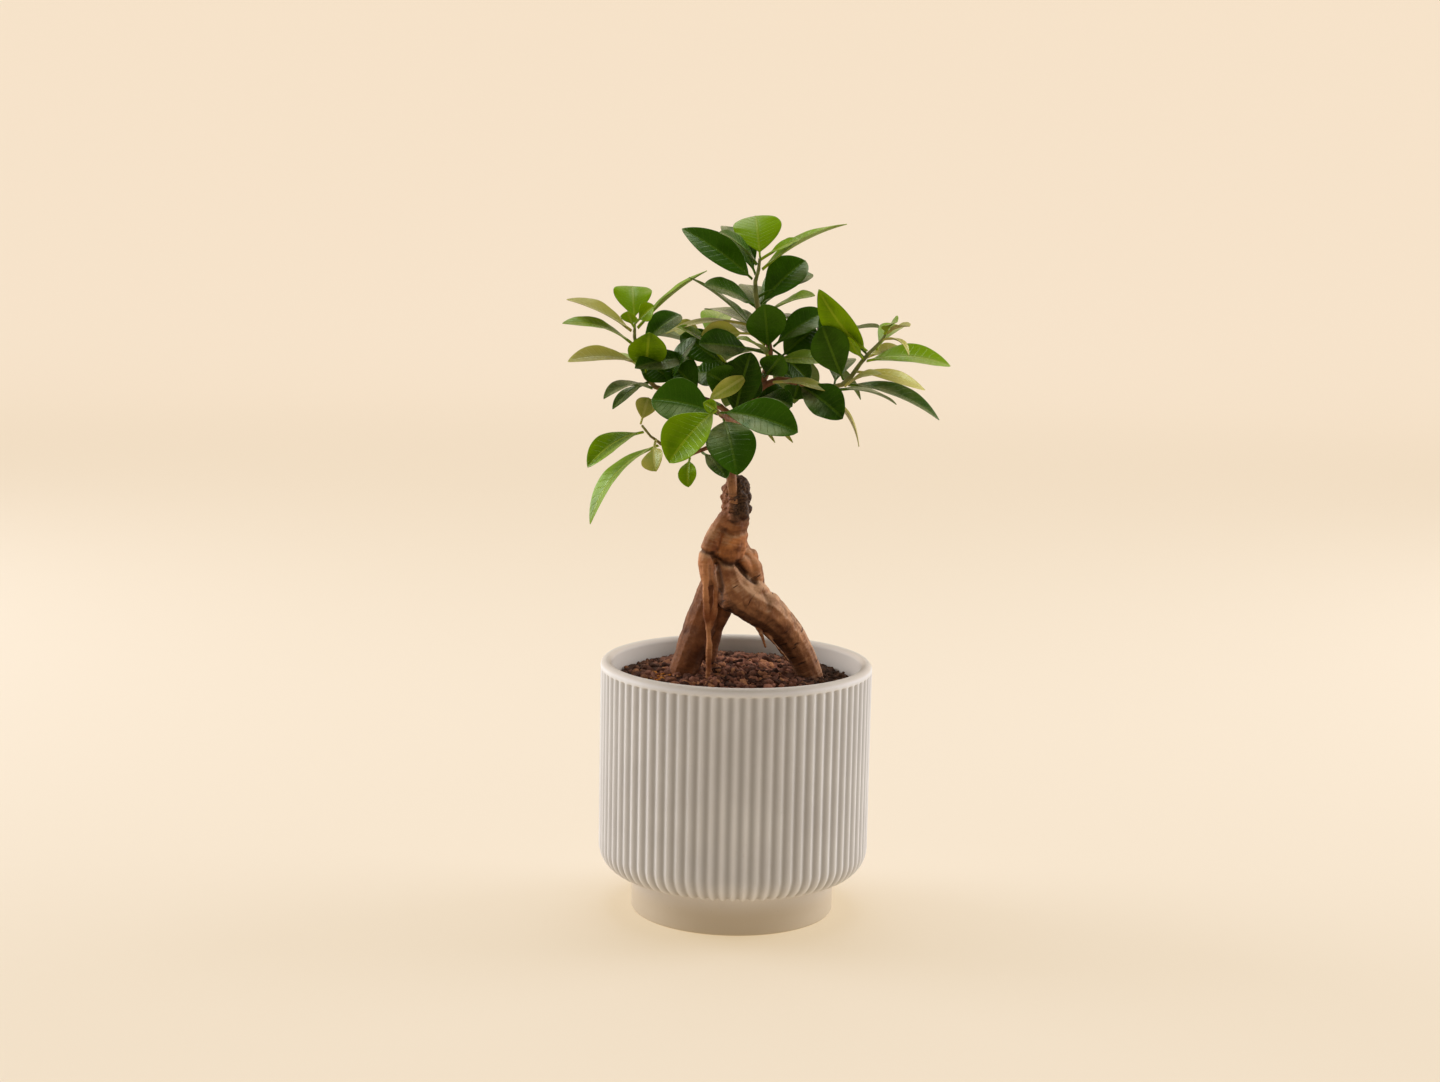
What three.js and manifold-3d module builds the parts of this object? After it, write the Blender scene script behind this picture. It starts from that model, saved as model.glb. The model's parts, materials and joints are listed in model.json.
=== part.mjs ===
// A ficus bonsai in a ribbed ceramic pot, in millimetres, +Z up.
// The origin is the centre of the pot's flat underside. -Y is the front, +X the right-hand side.
// The trunk stands on two swollen roots that bridge open air before they enter the soil. A thin
// grafted shoot rises from a cleft in its top and carries the leaves.
import * as THREE from "three";
import { mergeVertices } from "three/addons/utils/BufferGeometryUtils.js";
import Module from "manifold-3d";

const wasm = await Module();
wasm.setup();

// Clearance between pieces that touch.
const GAP = 0.3;

// Pot: one cast ceramic shell of even wall.
const POT_RADIUS = 70;
const POT_HEIGHT = 131;
const POT_WALL = 5.5;
const POT_FLOOR = 6;
const POT_SIDES = 48;
const FOOT_INSET = 17.5;
const FOOT_RADIUS = POT_RADIUS - FOOT_INSET;
const FOOT_HEIGHT = 20;
const FOOT_EDGE = 1;
const CORNER_RADIUS = 14;
const RIM_BAND = 4.4;
const RIB_COUNT = 76;
const RIB_DEPTH = 1.2;
const RIB_LEDGE = 0.6;

// Soil: its level sits below the rim, a little higher at the left, at the back and in the middle.
const SOIL_BELOW_RIM = 13;
const SOIL_LEVEL = POT_HEIGHT - SOIL_BELOW_RIM;
const SOIL_MOUND = 1.5;
const SOIL_RISE_LEFT = 2.2;
const SOIL_RISE_BACK = 1.2;

// Plant: every point below is drawn for the drawn height, above the soil level.
const PLANT_HEIGHT = 241;
const DRAWN_HEIGHT = 241;
const GROWTH = PLANT_HEIGHT / DRAWN_HEIGHT;
const ROOT_DEPTH = 30;
const AIR_ROOT_DEPTH = 12;
const ROOT_TAPER = 0.6;

// How finely a stem is divided: sides round it, and millimetres between its rings.
const THICK = { sides: 12, pitch: 6 };
const SLIM = { sides: 8, pitch: 6 };
const THIN = { sides: 6, pitch: 7 };

// Leaves: a short stalk, then a blade folded up a little along its midrib. A blade lean under 1
// sets its widest place nearer the stalk, and a fullness under 1 makes its outline blunter.
const LEAF_THICKNESS = 0.8;
const LEAF_FOLD = 0.22;
const STALK_LENGTH = 3;
const STALK_HALF_WIDTH = 0.55;
const BLADE_ROWS = 5;
const BLADE_LEAN = 0.9;
const BLADE_FULLNESS = 0.75;

const placed = ([x, y, z]) => new THREE.Vector3(x, y, z).multiplyScalar(GROWTH);

// ---- solids -------------------------------------------------------------------------------

function toSolid(geometry) {
  const bare = geometry.clone();
  bare.deleteAttribute("normal");
  bare.deleteAttribute("uv");
  const merged = mergeVertices(bare, 1e-4);
  return new wasm.Manifold(new wasm.Mesh({
    numProp: 3,
    vertProperties: Float32Array.from(merged.attributes.position.array),
    triVerts: Uint32Array.from(merged.index.array),
  }));
}

function toGeometry(solid) {
  const mesh = solid.getMesh();
  const geometry = new THREE.BufferGeometry();
  geometry.setAttribute("position", new THREE.BufferAttribute(mesh.vertProperties, 3));
  geometry.setIndex(new THREE.BufferAttribute(mesh.triVerts, 1));
  geometry.computeVertexNormals();
  return geometry;
}

function joined(solids) {
  return solids.reduce((whole, solid) => whole.add(solid));
}

function addMesh(group, name, geometry, material) {
  const mesh = new THREE.Mesh(geometry, material);
  mesh.name = name;
  group.add(mesh);
}

// A profile of [radius, height] pairs, turned about the Z axis.
function turned(profile, sides) {
  const points = profile.map(([radius, height]) => new THREE.Vector2(radius, height));
  return new THREE.LatheGeometry(points, sides).rotateX(Math.PI / 2);
}

// Points on a quarter round of a profile, from one angle to another, both in degrees.
function roundCorner(centre, radius, from, to, steps) {
  return Array.from({ length: steps + 1 }, (_, i) => {
    const angle = THREE.MathUtils.degToRad(from + ((to - from) * i) / steps);
    return [centre[0] + radius * Math.cos(angle), centre[1] + radius * Math.sin(angle)];
  });
}

// ---- materials ----------------------------------------------------------------------------

const ceramic = () => new THREE.MeshStandardMaterial({ color: 0xc3bcb2, roughness: 0.55 });
const pottingMix = () => new THREE.MeshStandardMaterial({ color: 0x5a3826, roughness: 0.95 });
const bark = () => new THREE.MeshStandardMaterial({ color: 0x96613a, roughness: 0.8 });
const youngBark = () => new THREE.MeshStandardMaterial({ color: 0x8a6a48, roughness: 0.75 });
const LEAF_COLOURS = { mature: 0x2c4a17, fresh: 0x6c8f20, young: 0xa7a552 };
const foliage = (age) => new THREE.MeshStandardMaterial({ color: LEAF_COLOURS[age], roughness: 0.35 });

// ---- pot ----------------------------------------------------------------------------------

const CORNER_CENTRE = [POT_RADIUS - CORNER_RADIUS, FOOT_HEIGHT + CORNER_RADIUS];
const LIP_RADIUS = POT_WALL / 2;
const LIP_CENTRE = [POT_RADIUS - LIP_RADIUS, POT_HEIGHT - LIP_RADIUS];

// The outer skin. Between the foot and the rim band it carries the upright ribs, each a crest and
// a groove, pressed in square to the profile.
function potOutside() {
  const corner = roundCorner(CORNER_CENTRE, CORNER_RADIUS, -90, 0, 3);
  const ribTop = POT_HEIGHT - RIM_BAND;
  const ribbed = [...corner, [POT_RADIUS, ribTop]];
  const below = [[0, 0], [FOOT_RADIUS - FOOT_EDGE, 0], [FOOT_RADIUS, FOOT_EDGE], [FOOT_RADIUS, FOOT_HEIGHT]];
  const lip = roundCorner(LIP_CENTRE, LIP_RADIUS, 0, 90, 2);
  const above = [[POT_RADIUS, ribTop + RIB_LEDGE], ...lip, [0, POT_HEIGHT]];
  const profile = [...below, ...ribbed, ...above];
  const skin = turned(profile, 2 * RIB_COUNT);
  const position = skin.attributes.position;
  for (let i = 0; i < position.count; i++) {
    const row = (i % profile.length) - below.length;
    if (row < 0 || row >= ribbed.length) continue;
    const [radius, height] = ribbed[row];
    const slope = Math.min(0, height - CORNER_CENTRE[1]) / CORNER_RADIUS;
    const around = Math.atan2(position.getY(i), position.getX(i));
    const groove = (RIB_DEPTH * (1 - Math.cos(RIB_COUNT * around))) / 2;
    const inward = radius - groove * Math.sqrt(1 - slope * slope);
    position.setXYZ(i, inward * Math.cos(around), inward * Math.sin(around), height - groove * slope);
  }
  return toSolid(skin);
}

// The hollow, at an even wall inside the skin, from the rounded lip down into the foot.
function potHollow() {
  const foot = FOOT_RADIUS - POT_WALL;
  const profile = [
    [0, POT_FLOOR],
    ...roundCorner([foot - POT_WALL / 2, POT_FLOOR + POT_WALL / 2], POT_WALL / 2, -90, 0, 2),
    [foot, FOOT_HEIGHT + POT_WALL],
    ...roundCorner(CORNER_CENTRE, CORNER_RADIUS - POT_WALL, -90, 0, 3),
    ...roundCorner(LIP_CENTRE, LIP_RADIUS, 180, 90, 2),
    [LIP_CENTRE[0], POT_HEIGHT + POT_WALL],
    [0, POT_HEIGHT + POT_WALL],
  ];
  return toSolid(turned(profile, POT_SIDES));
}

function pot() {
  return toGeometry(potOutside().subtract(potHollow()));
}

// ---- trunk, roots and branches --------------------------------------------------------------

// Places along a stem, each [x, y, z, radius], from its root end to its tip.
const STUMP = [
  [-6, 0, 62, 6.5], [-5.9, 0, 67, 8.4], [-5, 0, 71, 9], [-3.6, 0, 77, 8.2], [-2.4, 0, 83.5, 6.9],
  [-2.3, 0, 90, 6.6], [-2.2, 0, 96.5, 6.8], [-2.6, 0, 102, 5.6], [-2.6, 0, 104, 4],
];
const ARM = [
  [-4, -1, 92, 3.4], [-8, -2, 85.2, 4.4], [-11.8, -3.6, 78.7, 5], [-14.8, -6.4, 72.4, 5],
  [-16.6, -9, 65.6, 4.4], [-16.2, -11, 58.6, 3.6], [-15.8, -12.5, 53, 2.2],
];
const LEFT_ROOT = [
  [-5, 2, 66, 6], [-9, 4, 58, 6.6], [-12.8, 5, 48, 8.3], [-15.6, 5, 39, 8.8], [-18.9, 4, 30, 8.8],
  [-22.6, 2, 20, 8.2], [-25.8, 1, 11, 7.7], [-28, 1, 1, 7.5],
];
const RIGHT_ROOT = [
  [-5.5, -2, 66, 6.2], [-5.2, -4, 59, 6.8], [-2.6, -4, 52, 8.8], [4, -4, 45, 9.9], [15.4, -3, 39, 10],
  [21.5, -1, 33, 9], [28, 2, 24.5, 7.8], [33.4, 4, 15.5, 7], [37, 5.5, 7.5, 7], [39, 6.5, 0, 7.3],
];
const SHOULDER_ROOT = [
  [-1, 2, 76, 4], [2.7, 3, 71, 3.5], [6.5, 4.5, 65, 3.6], [8.6, 5, 58, 3.7], [9, 3.5, 51, 3.6],
  [8, 0, 44, 3.6],
];
const AIR_ROOT = [
  [-16.2, -12, 59, 2.4], [-16.6, -13.5, 52, 1.8], [-15.8, -14, 42, 1.6], [-14.6, -14, 31, 1.6],
  [-14, -14, 23, 1.5], [-14.4, -14, 12, 1.3], [-14.4, -13.5, 4, 1.2],
];
const AIR_ROOT_TWIN = [
  [-14.6, -11, 60, 2.2], [-11.4, -12, 53, 2], [-11, -13, 46, 1.7], [-12, -14, 39, 1.5],
  [-14, -14, 31, 1.3],
];
const HANGING_ROOT = [[10, -6, 33, 1.6], [13.3, -9, 26, 1], [15, -9.5, 21.5, 0.7]];
const ROOTLET = [[14, -6, 29, 1.2], [19, -6.5, 23.5, 0.8], [23.3, -6.5, 18.5, 0.7], [27, -4, 13.5, 0.7]];
// Knobs of old cut wood, [x, y, z, radius].
const KNOBS = [
  [-7.6, 0.5, 102, 2.2], [0.8, 1.5, 102.5, 2.4], [3, 1, 97, 2.4], [3.8, 0, 91, 2], [2.6, -4, 92.5, 2.2],
  [-7.5, -1.5, 93, 2],
];

// The grafted shoot and its side shoots.
const MAIN = [
  [-3, -5, 95, 2.5], [-4.5, -5.5, 108, 2.7], [-4.9, -4, 115, 2.6], [-4, -2, 122, 2.5],
  [-1.6, 0, 131, 2.4], [1.7, 0, 142, 2.3], [7, 0, 151.5, 2.3], [11.5, 1, 160, 2], [13.8, 1, 169, 1.8],
  [12.6, 2, 178, 1.6], [8.8, 3, 188, 1.5], [6.6, 3, 197, 1.4], [5.4, 3, 206, 1.2], [7, 3, 213, 1],
  [7.6, 3, 219, 0.8],
];
const SHOOTS = {
  left: [
    [-0.5, 0, 135, 1.9], [-10, 4, 143, 1.8], [-21, 7, 147.5, 1.6], [-32.5, 8, 150, 1.5],
    [-43, 7, 152, 1.4], [-49.5, 5, 158.5, 1.3], [-52.5, 4, 168.5, 1.1], [-55, 3, 178, 1], [-55, 2, 185, 0.8],
  ],
  low: [
    [-2.6, -1.5, 128, 1.6], [-11.7, -8, 126, 1.3], [-20.7, -12, 122.7, 1.2], [-28.6, -15, 120.3, 1.1],
    [-35.7, -17, 123.5, 1], [-42.3, -18, 128, 0.9], [-47.3, -19, 132, 0.8], [-50, -20, 136, 0.7],
  ],
  front: [
    [0, 0, 135, 1.8], [-3.4, -12, 137.5, 1.6], [-7.5, -24, 140.5, 1.5], [-11, -36, 144, 1.3],
    [-12.5, -44, 146.5, 1],
  ],
  right: [
    [7, 0, 152, 2], [16.5, -3, 158.4, 1.8], [26.5, -6, 158, 1.6], [38, -8, 155.8, 1.5],
    [48, -9, 156, 1.4], [54, -9, 160.7, 1.3], [59, -9, 168, 1.2], [64.7, -9, 175, 1],
    [69.6, -9, 179.6, 0.9], [71.5, -9, 183, 0.7],
  ],
  back_left: [[5, 1, 148.6, 1.6], [-3.7, 12, 159, 1.4], [-12.6, 20, 168.7, 1.3], [-19, 26, 174, 1]],
  back: [[9, 2, 154.7, 1.6], [11.7, 18, 161.6, 1.4], [13.3, 32, 168, 1.3], [13.4, 44, 173.5, 1]],
  back_right: [[12, 2, 162, 1.6], [22, 14, 168, 1.4], [33, 26, 171, 1.3], [42, 36, 174, 1]],
};

function curveOf(stem) {
  return new THREE.CatmullRomCurve3(stem.map(placed));
}

// Radius at a share of the stem's length, straight between the listed ones.
function radiusAt(stem, curve, along) {
  const t = curve.getUtoTmapping(along) * (stem.length - 1);
  const i = Math.min(Math.floor(t), stem.length - 2);
  return GROWTH * THREE.MathUtils.lerp(stem[i][3], stem[i + 1][3], t - i);
}

// A closed round rod bent along the stem. `swell` makes it that much larger all round.
function stemSolid(stem, { sides, pitch }, swell = 0) {
  const curve = curveOf(stem);
  const steps = Math.max(2, Math.round(curve.getLength() / pitch));
  const frames = curve.computeFrenetFrames(steps, false);
  const rod = new THREE.CylinderGeometry(1, 1, 1, sides, steps);
  const position = rod.attributes.position;
  for (let i = 0; i < position.count; i++) {
    const ring = Math.round((position.getY(i) + 0.5) * steps);
    const along = ring / steps;
    const radius = radiusAt(stem, curve, along) + swell;
    const past = ring === 0 ? -swell : ring === steps ? swell : 0;
    const place = curve.getPointAt(along)
      .addScaledVector(frames.tangents[ring], past)
      .addScaledVector(frames.binormals[ring], radius * position.getX(i))
      .addScaledVector(frames.normals[ring], radius * position.getZ(i));
    position.setXYZ(i, place.x, place.y, place.z);
  }
  return toSolid(rod);
}

function knobSolid([x, y, z, radius]) {
  const knob = new THREE.IcosahedronGeometry(radius * GROWTH, 1);
  const centre = placed([x, y, z]);
  return toSolid(knob.translate(centre.x, centre.y, centre.z));
}

// A root carried on below the soil level, straight down from its last point, thinning as it goes.
function buried(root, depth) {
  const [x, y, , radius] = root.at(-1);
  return [...root, [x, y, -depth / GROWTH, radius * ROOT_TAPER]];
}

// The roots that enter the soil; the soil takes its pockets from the same ones, swollen by the gap.
function soilRoots(swell) {
  return [
    stemSolid(buried(LEFT_ROOT, ROOT_DEPTH), THICK, swell),
    stemSolid(buried(RIGHT_ROOT, ROOT_DEPTH), THICK, swell),
    stemSolid(buried(AIR_ROOT, AIR_ROOT_DEPTH), THIN, swell),
  ];
}

function trunk() {
  const wood = joined([
    stemSolid(STUMP, THICK),
    stemSolid(ARM, THICK),
    stemSolid(SHOULDER_ROOT, SLIM),
    stemSolid(AIR_ROOT_TWIN, THIN),
    stemSolid(HANGING_ROOT, THIN),
    stemSolid(ROOTLET, THIN),
    ...soilRoots(0),
    ...KNOBS.map(knobSolid),
  ]);
  const cleft = stemSolid(MAIN, SLIM, GAP);
  return toGeometry(wood.subtract(cleft));
}

function branches() {
  const shoots = Object.values(SHOOTS).map((shoot) => stemSolid(shoot, THIN));
  return toGeometry(joined([stemSolid(MAIN, SLIM), ...shoots]));
}

// ---- soil ---------------------------------------------------------------------------------

// The mix fills the pot to its level, a gap inside the hollow, with a pocket round each root.
function soil() {
  const foot = FOOT_RADIUS - POT_WALL - GAP;
  const floor = POT_FLOOR + GAP;
  const edge = POT_RADIUS - POT_WALL - GAP;
  const topRows = [1, 0.8, 0.55, 0.3, 0].map((share) => [edge * share, SOIL_LEVEL]);
  const profile = [
    [0, floor],
    [foot - POT_WALL / 2, floor],
    [foot, floor + POT_WALL / 2],
    [foot, FOOT_HEIGHT + POT_WALL + GAP],
    ...roundCorner(CORNER_CENTRE, CORNER_RADIUS - POT_WALL - GAP, -90, 0, 3),
    ...topRows,
  ];
  const mix = turned(profile, POT_SIDES).translate(0, 0, -SOIL_LEVEL);
  const position = mix.attributes.position;
  for (let i = 0; i < position.count; i++) {
    if (i % profile.length < profile.length - topRows.length) continue;
    const x = position.getX(i) / edge;
    const y = position.getY(i) / edge;
    position.setZ(i, SOIL_MOUND * (1 - x * x - y * y) - SOIL_RISE_LEFT * x + SOIL_RISE_BACK * y);
  }
  return toGeometry(toSolid(mix).subtract(joined(soilRoots(GAP))));
}

// ---- leaves -------------------------------------------------------------------------------

// Leaves by shoot. `at` is the share of the shoot's length where the stalk stands, `tip` the place
// of the leaf's point, `faces` the way its upper side looks, `arch` how far its middle bows up.
const LEAVES = {
  top: [
    { at: 1, tip: [5, 20, 240], wide: 25, faces: [0, -1, 0.9], arch: 2, age: "fresh" },
    { at: 0.97, tip: [-13, -12, 232], wide: 15, faces: [0.2, -0.5, 0.85], arch: 2, age: "mature" },
    { at: 0.91, tip: [-32, 6, 233], wide: 18, faces: [0.3, -0.9, 0.5], arch: 3, age: "mature" },
    { at: 0.95, tip: [51, 2, 237], wide: 16, faces: [-0.3, -0.25, 0.95], arch: 3, age: "fresh" },
    { at: 0.81, tip: [31, 12, 218], wide: 21, faces: [-0.3, -0.9, 0.5], arch: 2, age: "mature" },
    { at: 0.77, tip: [35, -18, 202], wide: 14, faces: [0, -0.3, 0.95], arch: 2, age: "fresh" },
    { at: 0.81, tip: [-20, -12, 206], wide: 17, faces: [0.3, -0.6, 0.8], arch: 2, age: "mature" },
    { at: 0.65, tip: [-28, 0, 209], wide: 15, faces: [0.75, -0.15, 0.66], arch: 3, age: "mature" },
    { at: 0.6, tip: [10, -12, 197], wide: 21, faces: [0, -1, 0.15], arch: 1, age: "mature" },
    { at: 0.64, tip: [42, 14, 192], wide: 16, faces: [-0.4, -0.8, 0.6], arch: 2, age: "mature" },
    { at: 0.59, tip: [42, -4, 168], wide: 14, faces: [0, -0.5, 0.85], arch: 2, age: "fresh" },
    { at: 0.61, tip: [-3, -33, 181], wide: 12, faces: [0.3, -0.35, 0.9], arch: 2, age: "fresh" },
    { at: 0.43, tip: [25, -22, 147], wide: 14, faces: [0, -0.7, 0.7], arch: 2, age: "mature" },
    { at: 0.93, tip: [-10, 30, 234], wide: 18, faces: [0, -0.3, 1], arch: 3, age: "mature" },
    { at: 0.8, tip: [28, 36, 208], wide: 18, faces: [0, -0.2, 1], arch: 3, age: "mature" },
    { at: 0.7, tip: [-20, 35, 191], wide: 18, faces: [0.1, -0.2, 1], arch: 3, age: "mature" },
  ],
  right: [
    { at: 0.84, tip: [37, -14, 205], wide: 16, faces: [-0.7, -0.6, 0.5], arch: 5, age: "fresh" },
    { at: 0.8, tip: [40, 16, 189], wide: 17, faces: [-0.4, -0.8, 0.6], arch: 2, age: "mature" },
    { at: 0.6, tip: [39, -17, 187], wide: 20, faces: [-0.2, -1, 0.3], arch: 2, age: "mature" },
    { at: 0.25, tip: [50, -28, 142], wide: 19, faces: [-0.2, -0.7, 0.7], arch: 3, age: "mature" },
    { at: 0.43, tip: [59, -18, 127], wide: 10, faces: [0.85, -0.2, 0.5], arch: 4, age: "young" },
    { at: 0.51, tip: [79, 8, 146], wide: 12, faces: [0.1, -0.15, 1], arch: 3, age: "mature" },
    { at: 0.6, tip: [99, -16, 141], wide: 16, faces: [0.3, -0.4, 0.87], arch: 5, age: "mature" },
    { at: 0.78, tip: [105, -2, 167], wide: 17, faces: [0.1, -0.5, 0.87], arch: 4, age: "fresh" },
    { at: 0.7, tip: [94, 16, 153], wide: 10, faces: [0.6, -0.5, 0.6], arch: 3, age: "young" },
    { at: 1, tip: [82, -22, 188], wide: 10, faces: [0, -0.4, 0.9], arch: 1, age: "young" },
  ],
  front: [
    { at: 0.93, tip: [27, -57, 138], wide: 21, faces: [0.1, -0.8, 0.6], arch: 4, age: "mature" },
    { at: 0.7, tip: [-2, -60, 117], wide: 25, faces: [0, -0.8, 0.6], arch: 4, age: "mature" },
    { at: 1, tip: [-35, -58, 122], wide: 25, faces: [-0.3, -0.8, 0.6], arch: 3, age: "fresh" },
    { at: 0.75, tip: [-45, -30, 150], wide: 25, faces: [-0.1, -0.75, 0.65], arch: 3, age: "mature" },
    { at: 0.3, tip: [4, -14, 173], wide: 20, faces: [-0.3, -1, 0.2], arch: 2, age: "mature" },
  ],
  left: [
    { at: 0.5, tip: [-23, -8, 179], wide: 15, faces: [-0.3, -0.6, 0.75], arch: 3, age: "mature" },
    { at: 1, tip: [-57, 18, 203], wide: 20, faces: [0, -0.9, 0.5], arch: 2, age: "fresh" },
    { at: 0.95, tip: [-89, -6, 197], wide: 15, faces: [0.3, -0.3, 0.9], arch: 2, age: "young" },
    { at: 0.87, tip: [-90, -20, 186], wide: 12, faces: [0.1, -0.35, 0.93], arch: 4, age: "fresh" },
    { at: 0.84, tip: [-32, 16, 189], wide: 16, faces: [-0.3, -0.7, 0.7], arch: 2, age: "mature" },
    { at: 0.96, tip: [-19, 10, 212], wide: 12, faces: [-0.7, -0.1, 0.7], arch: 2, age: "fresh" },
    { at: 0.67, tip: [-47, -16, 182], wide: 20, faces: [0, -1, 0.2], arch: 2, age: "fresh" },
    { at: 0.76, tip: [-88, -8, 166], wide: 15, faces: [0, -0.45, 0.9], arch: 3, age: "young" },
    { at: 0.58, tip: [-69, -22, 149], wide: 13, faces: [-0.3, -0.45, 0.85], arch: 4, age: "mature" },
  ],
  low: [
    { at: 1, tip: [-47, -12, 149], wide: 11, faces: [0, -1, 0.2], arch: 1, age: "young" },
    { at: 0.94, tip: [-76, -34, 116], wide: 16, faces: [-0.3, -0.6, 0.75], arch: 4, age: "fresh" },
    { at: 0.77, tip: [-75, -24, 86], wide: 16, faces: [-0.6, -0.3, 0.75], arch: 7, age: "fresh" },
    { at: 0.37, tip: [-7, -28, 111], wide: 11, faces: [0.1, -0.7, 0.7], arch: 2, age: "mature" },
    { at: 0.47, tip: [-26, -26, 106], wide: 10, faces: [-0.3, -0.7, 0.6], arch: 2, age: "fresh" },
  ],
  back_left: [
    { at: 1, tip: [-37, 28, 183], wide: 12, faces: [-0.3, -0.6, 0.7], arch: 2, age: "young" },
    { at: 0.75, tip: [-52, 46, 176], wide: 18, faces: [-0.2, 0.2, 1], arch: 3, age: "mature" },
    { at: 0.9, tip: [-12, 58, 188], wide: 17, faces: [0, 0.2, 1], arch: 3, age: "fresh" },
    { at: 0.6, tip: [-38, 40, 142], wide: 17, faces: [-0.3, 0.4, 0.8], arch: 4, age: "mature" },
  ],
  back: [
    { at: 1, tip: [14, 80, 184], wide: 18, faces: [0, 0, 1], arch: 3, age: "mature" },
    { at: 0.85, tip: [-16, 62, 156], wide: 18, faces: [-0.2, 0.4, 0.8], arch: 4, age: "mature" },
    { at: 0.7, tip: [40, 58, 150], wide: 18, faces: [0.2, 0.4, 0.8], arch: 4, age: "mature" },
  ],
  back_right: [
    { at: 1, tip: [72, 54, 182], wide: 18, faces: [0.1, 0.1, 1], arch: 3, age: "mature" },
    { at: 0.9, tip: [48, 74, 170], wide: 17, faces: [0.1, 0.3, 1], arch: 3, age: "fresh" },
    { at: 0.6, tip: [62, 30, 146], wide: 16, faces: [0.3, 0.2, 0.9], arch: 4, age: "mature" },
  ],
};

// Where a stalk starts: just clear of the stem's skin on the side of the leaf, or of its end.
function stalkFoot(stem, at, tip) {
  const curve = curveOf(stem);
  const axisPoint = curve.getPointAt(at);
  const axis = curve.getTangentAt(at);
  if (at === 1) return axisPoint.addScaledVector(axis, GAP + STALK_HALF_WIDTH);
  const reach = tip.clone().sub(axisPoint).normalize();
  const lean = Math.abs(reach.dot(axis));
  const clear = (radiusAt(stem, curve, at) + GAP + STALK_HALF_WIDTH * lean) / Math.sqrt(1 - lean * lean);
  return axisPoint.addScaledVector(reach, clear);
}

// A slab stretched from the stalk's foot to the tip. Its first row is the stalk, and the blade
// swells and narrows again as a sine.
function leafGeometry(stem, leaf) {
  const tip = placed(leaf.tip);
  const foot = stalkFoot(stem, leaf.at, tip);
  const span = tip.distanceTo(foot);
  const along = tip.clone().sub(foot).normalize();
  const up = new THREE.Vector3(...leaf.faces);
  up.addScaledVector(along, -up.dot(along)).normalize();
  const side = up.clone().cross(along);
  const stalk = STALK_LENGTH / span;
  const slab = new THREE.BoxGeometry(1, 2, 1, BLADE_ROWS + 1, 2, 1);
  const position = slab.attributes.position;
  for (let i = 0; i < position.count; i++) {
    const row = Math.round((position.getX(i) + 0.5) * (BLADE_ROWS + 1));
    const blade = Math.max(0, row - 1) / BLADE_ROWS;
    const share = row === 0 ? 0 : stalk + (1 - stalk) * blade;
    const swell = (leaf.wide * GROWTH * Math.sin(Math.PI * blade ** BLADE_LEAN) ** BLADE_FULLNESS) / 2;
    const across = position.getY(i) * Math.max(STALK_HALF_WIDTH, swell);
    const lift = 4 * leaf.arch * GROWTH * share * (1 - share)
      + LEAF_FOLD * Math.abs(across)
      + LEAF_THICKNESS * position.getZ(i);
    const place = foot.clone()
      .addScaledVector(along, span * share)
      .addScaledVector(side, across)
      .addScaledVector(up, lift);
    position.setXYZ(i, place.x, place.y, place.z);
  }
  return toGeometry(toSolid(slab));
}

function addLeaves(group) {
  for (const [shoot, leaves] of Object.entries(LEAVES)) {
    const stem = SHOOTS[shoot] ?? MAIN;
    leaves.forEach((leaf, index) => {
      addMesh(group, `leaf_${shoot}_${index + 1}`, leafGeometry(stem, leaf), foliage(leaf.age));
    });
  }
}

// ---- assembly -----------------------------------------------------------------------------

// Everything that grows is drawn from the soil level, so it is hung in a group at that height.
function planting() {
  const group = new THREE.Group();
  group.position.z = SOIL_LEVEL;
  addMesh(group, "soil", soil(), pottingMix());
  addMesh(group, "trunk", trunk(), bark());
  addMesh(group, "branches", branches(), youngBark());
  addLeaves(group);
  return group;
}

const bonsai = new THREE.Group();
addMesh(bonsai, "pot", pot(), ceramic());
bonsai.add(planting());

export default bonsai;
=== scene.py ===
# %% [markdown]
# # A potted ficus bonsai
# The plant stands on two swollen roots in a ribbed ceramic pot, and a grafted shoot on top carries
# about a hundred leaves. The measured solids are loaded first. Every piece made here takes its place from
# them, in metres, with +Z up and -Y towards the front.

# %% Load the measured model
import json
import math
import random

import bmesh
import bpy
import numpy as np
from mathutils import Matrix, Vector


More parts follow.
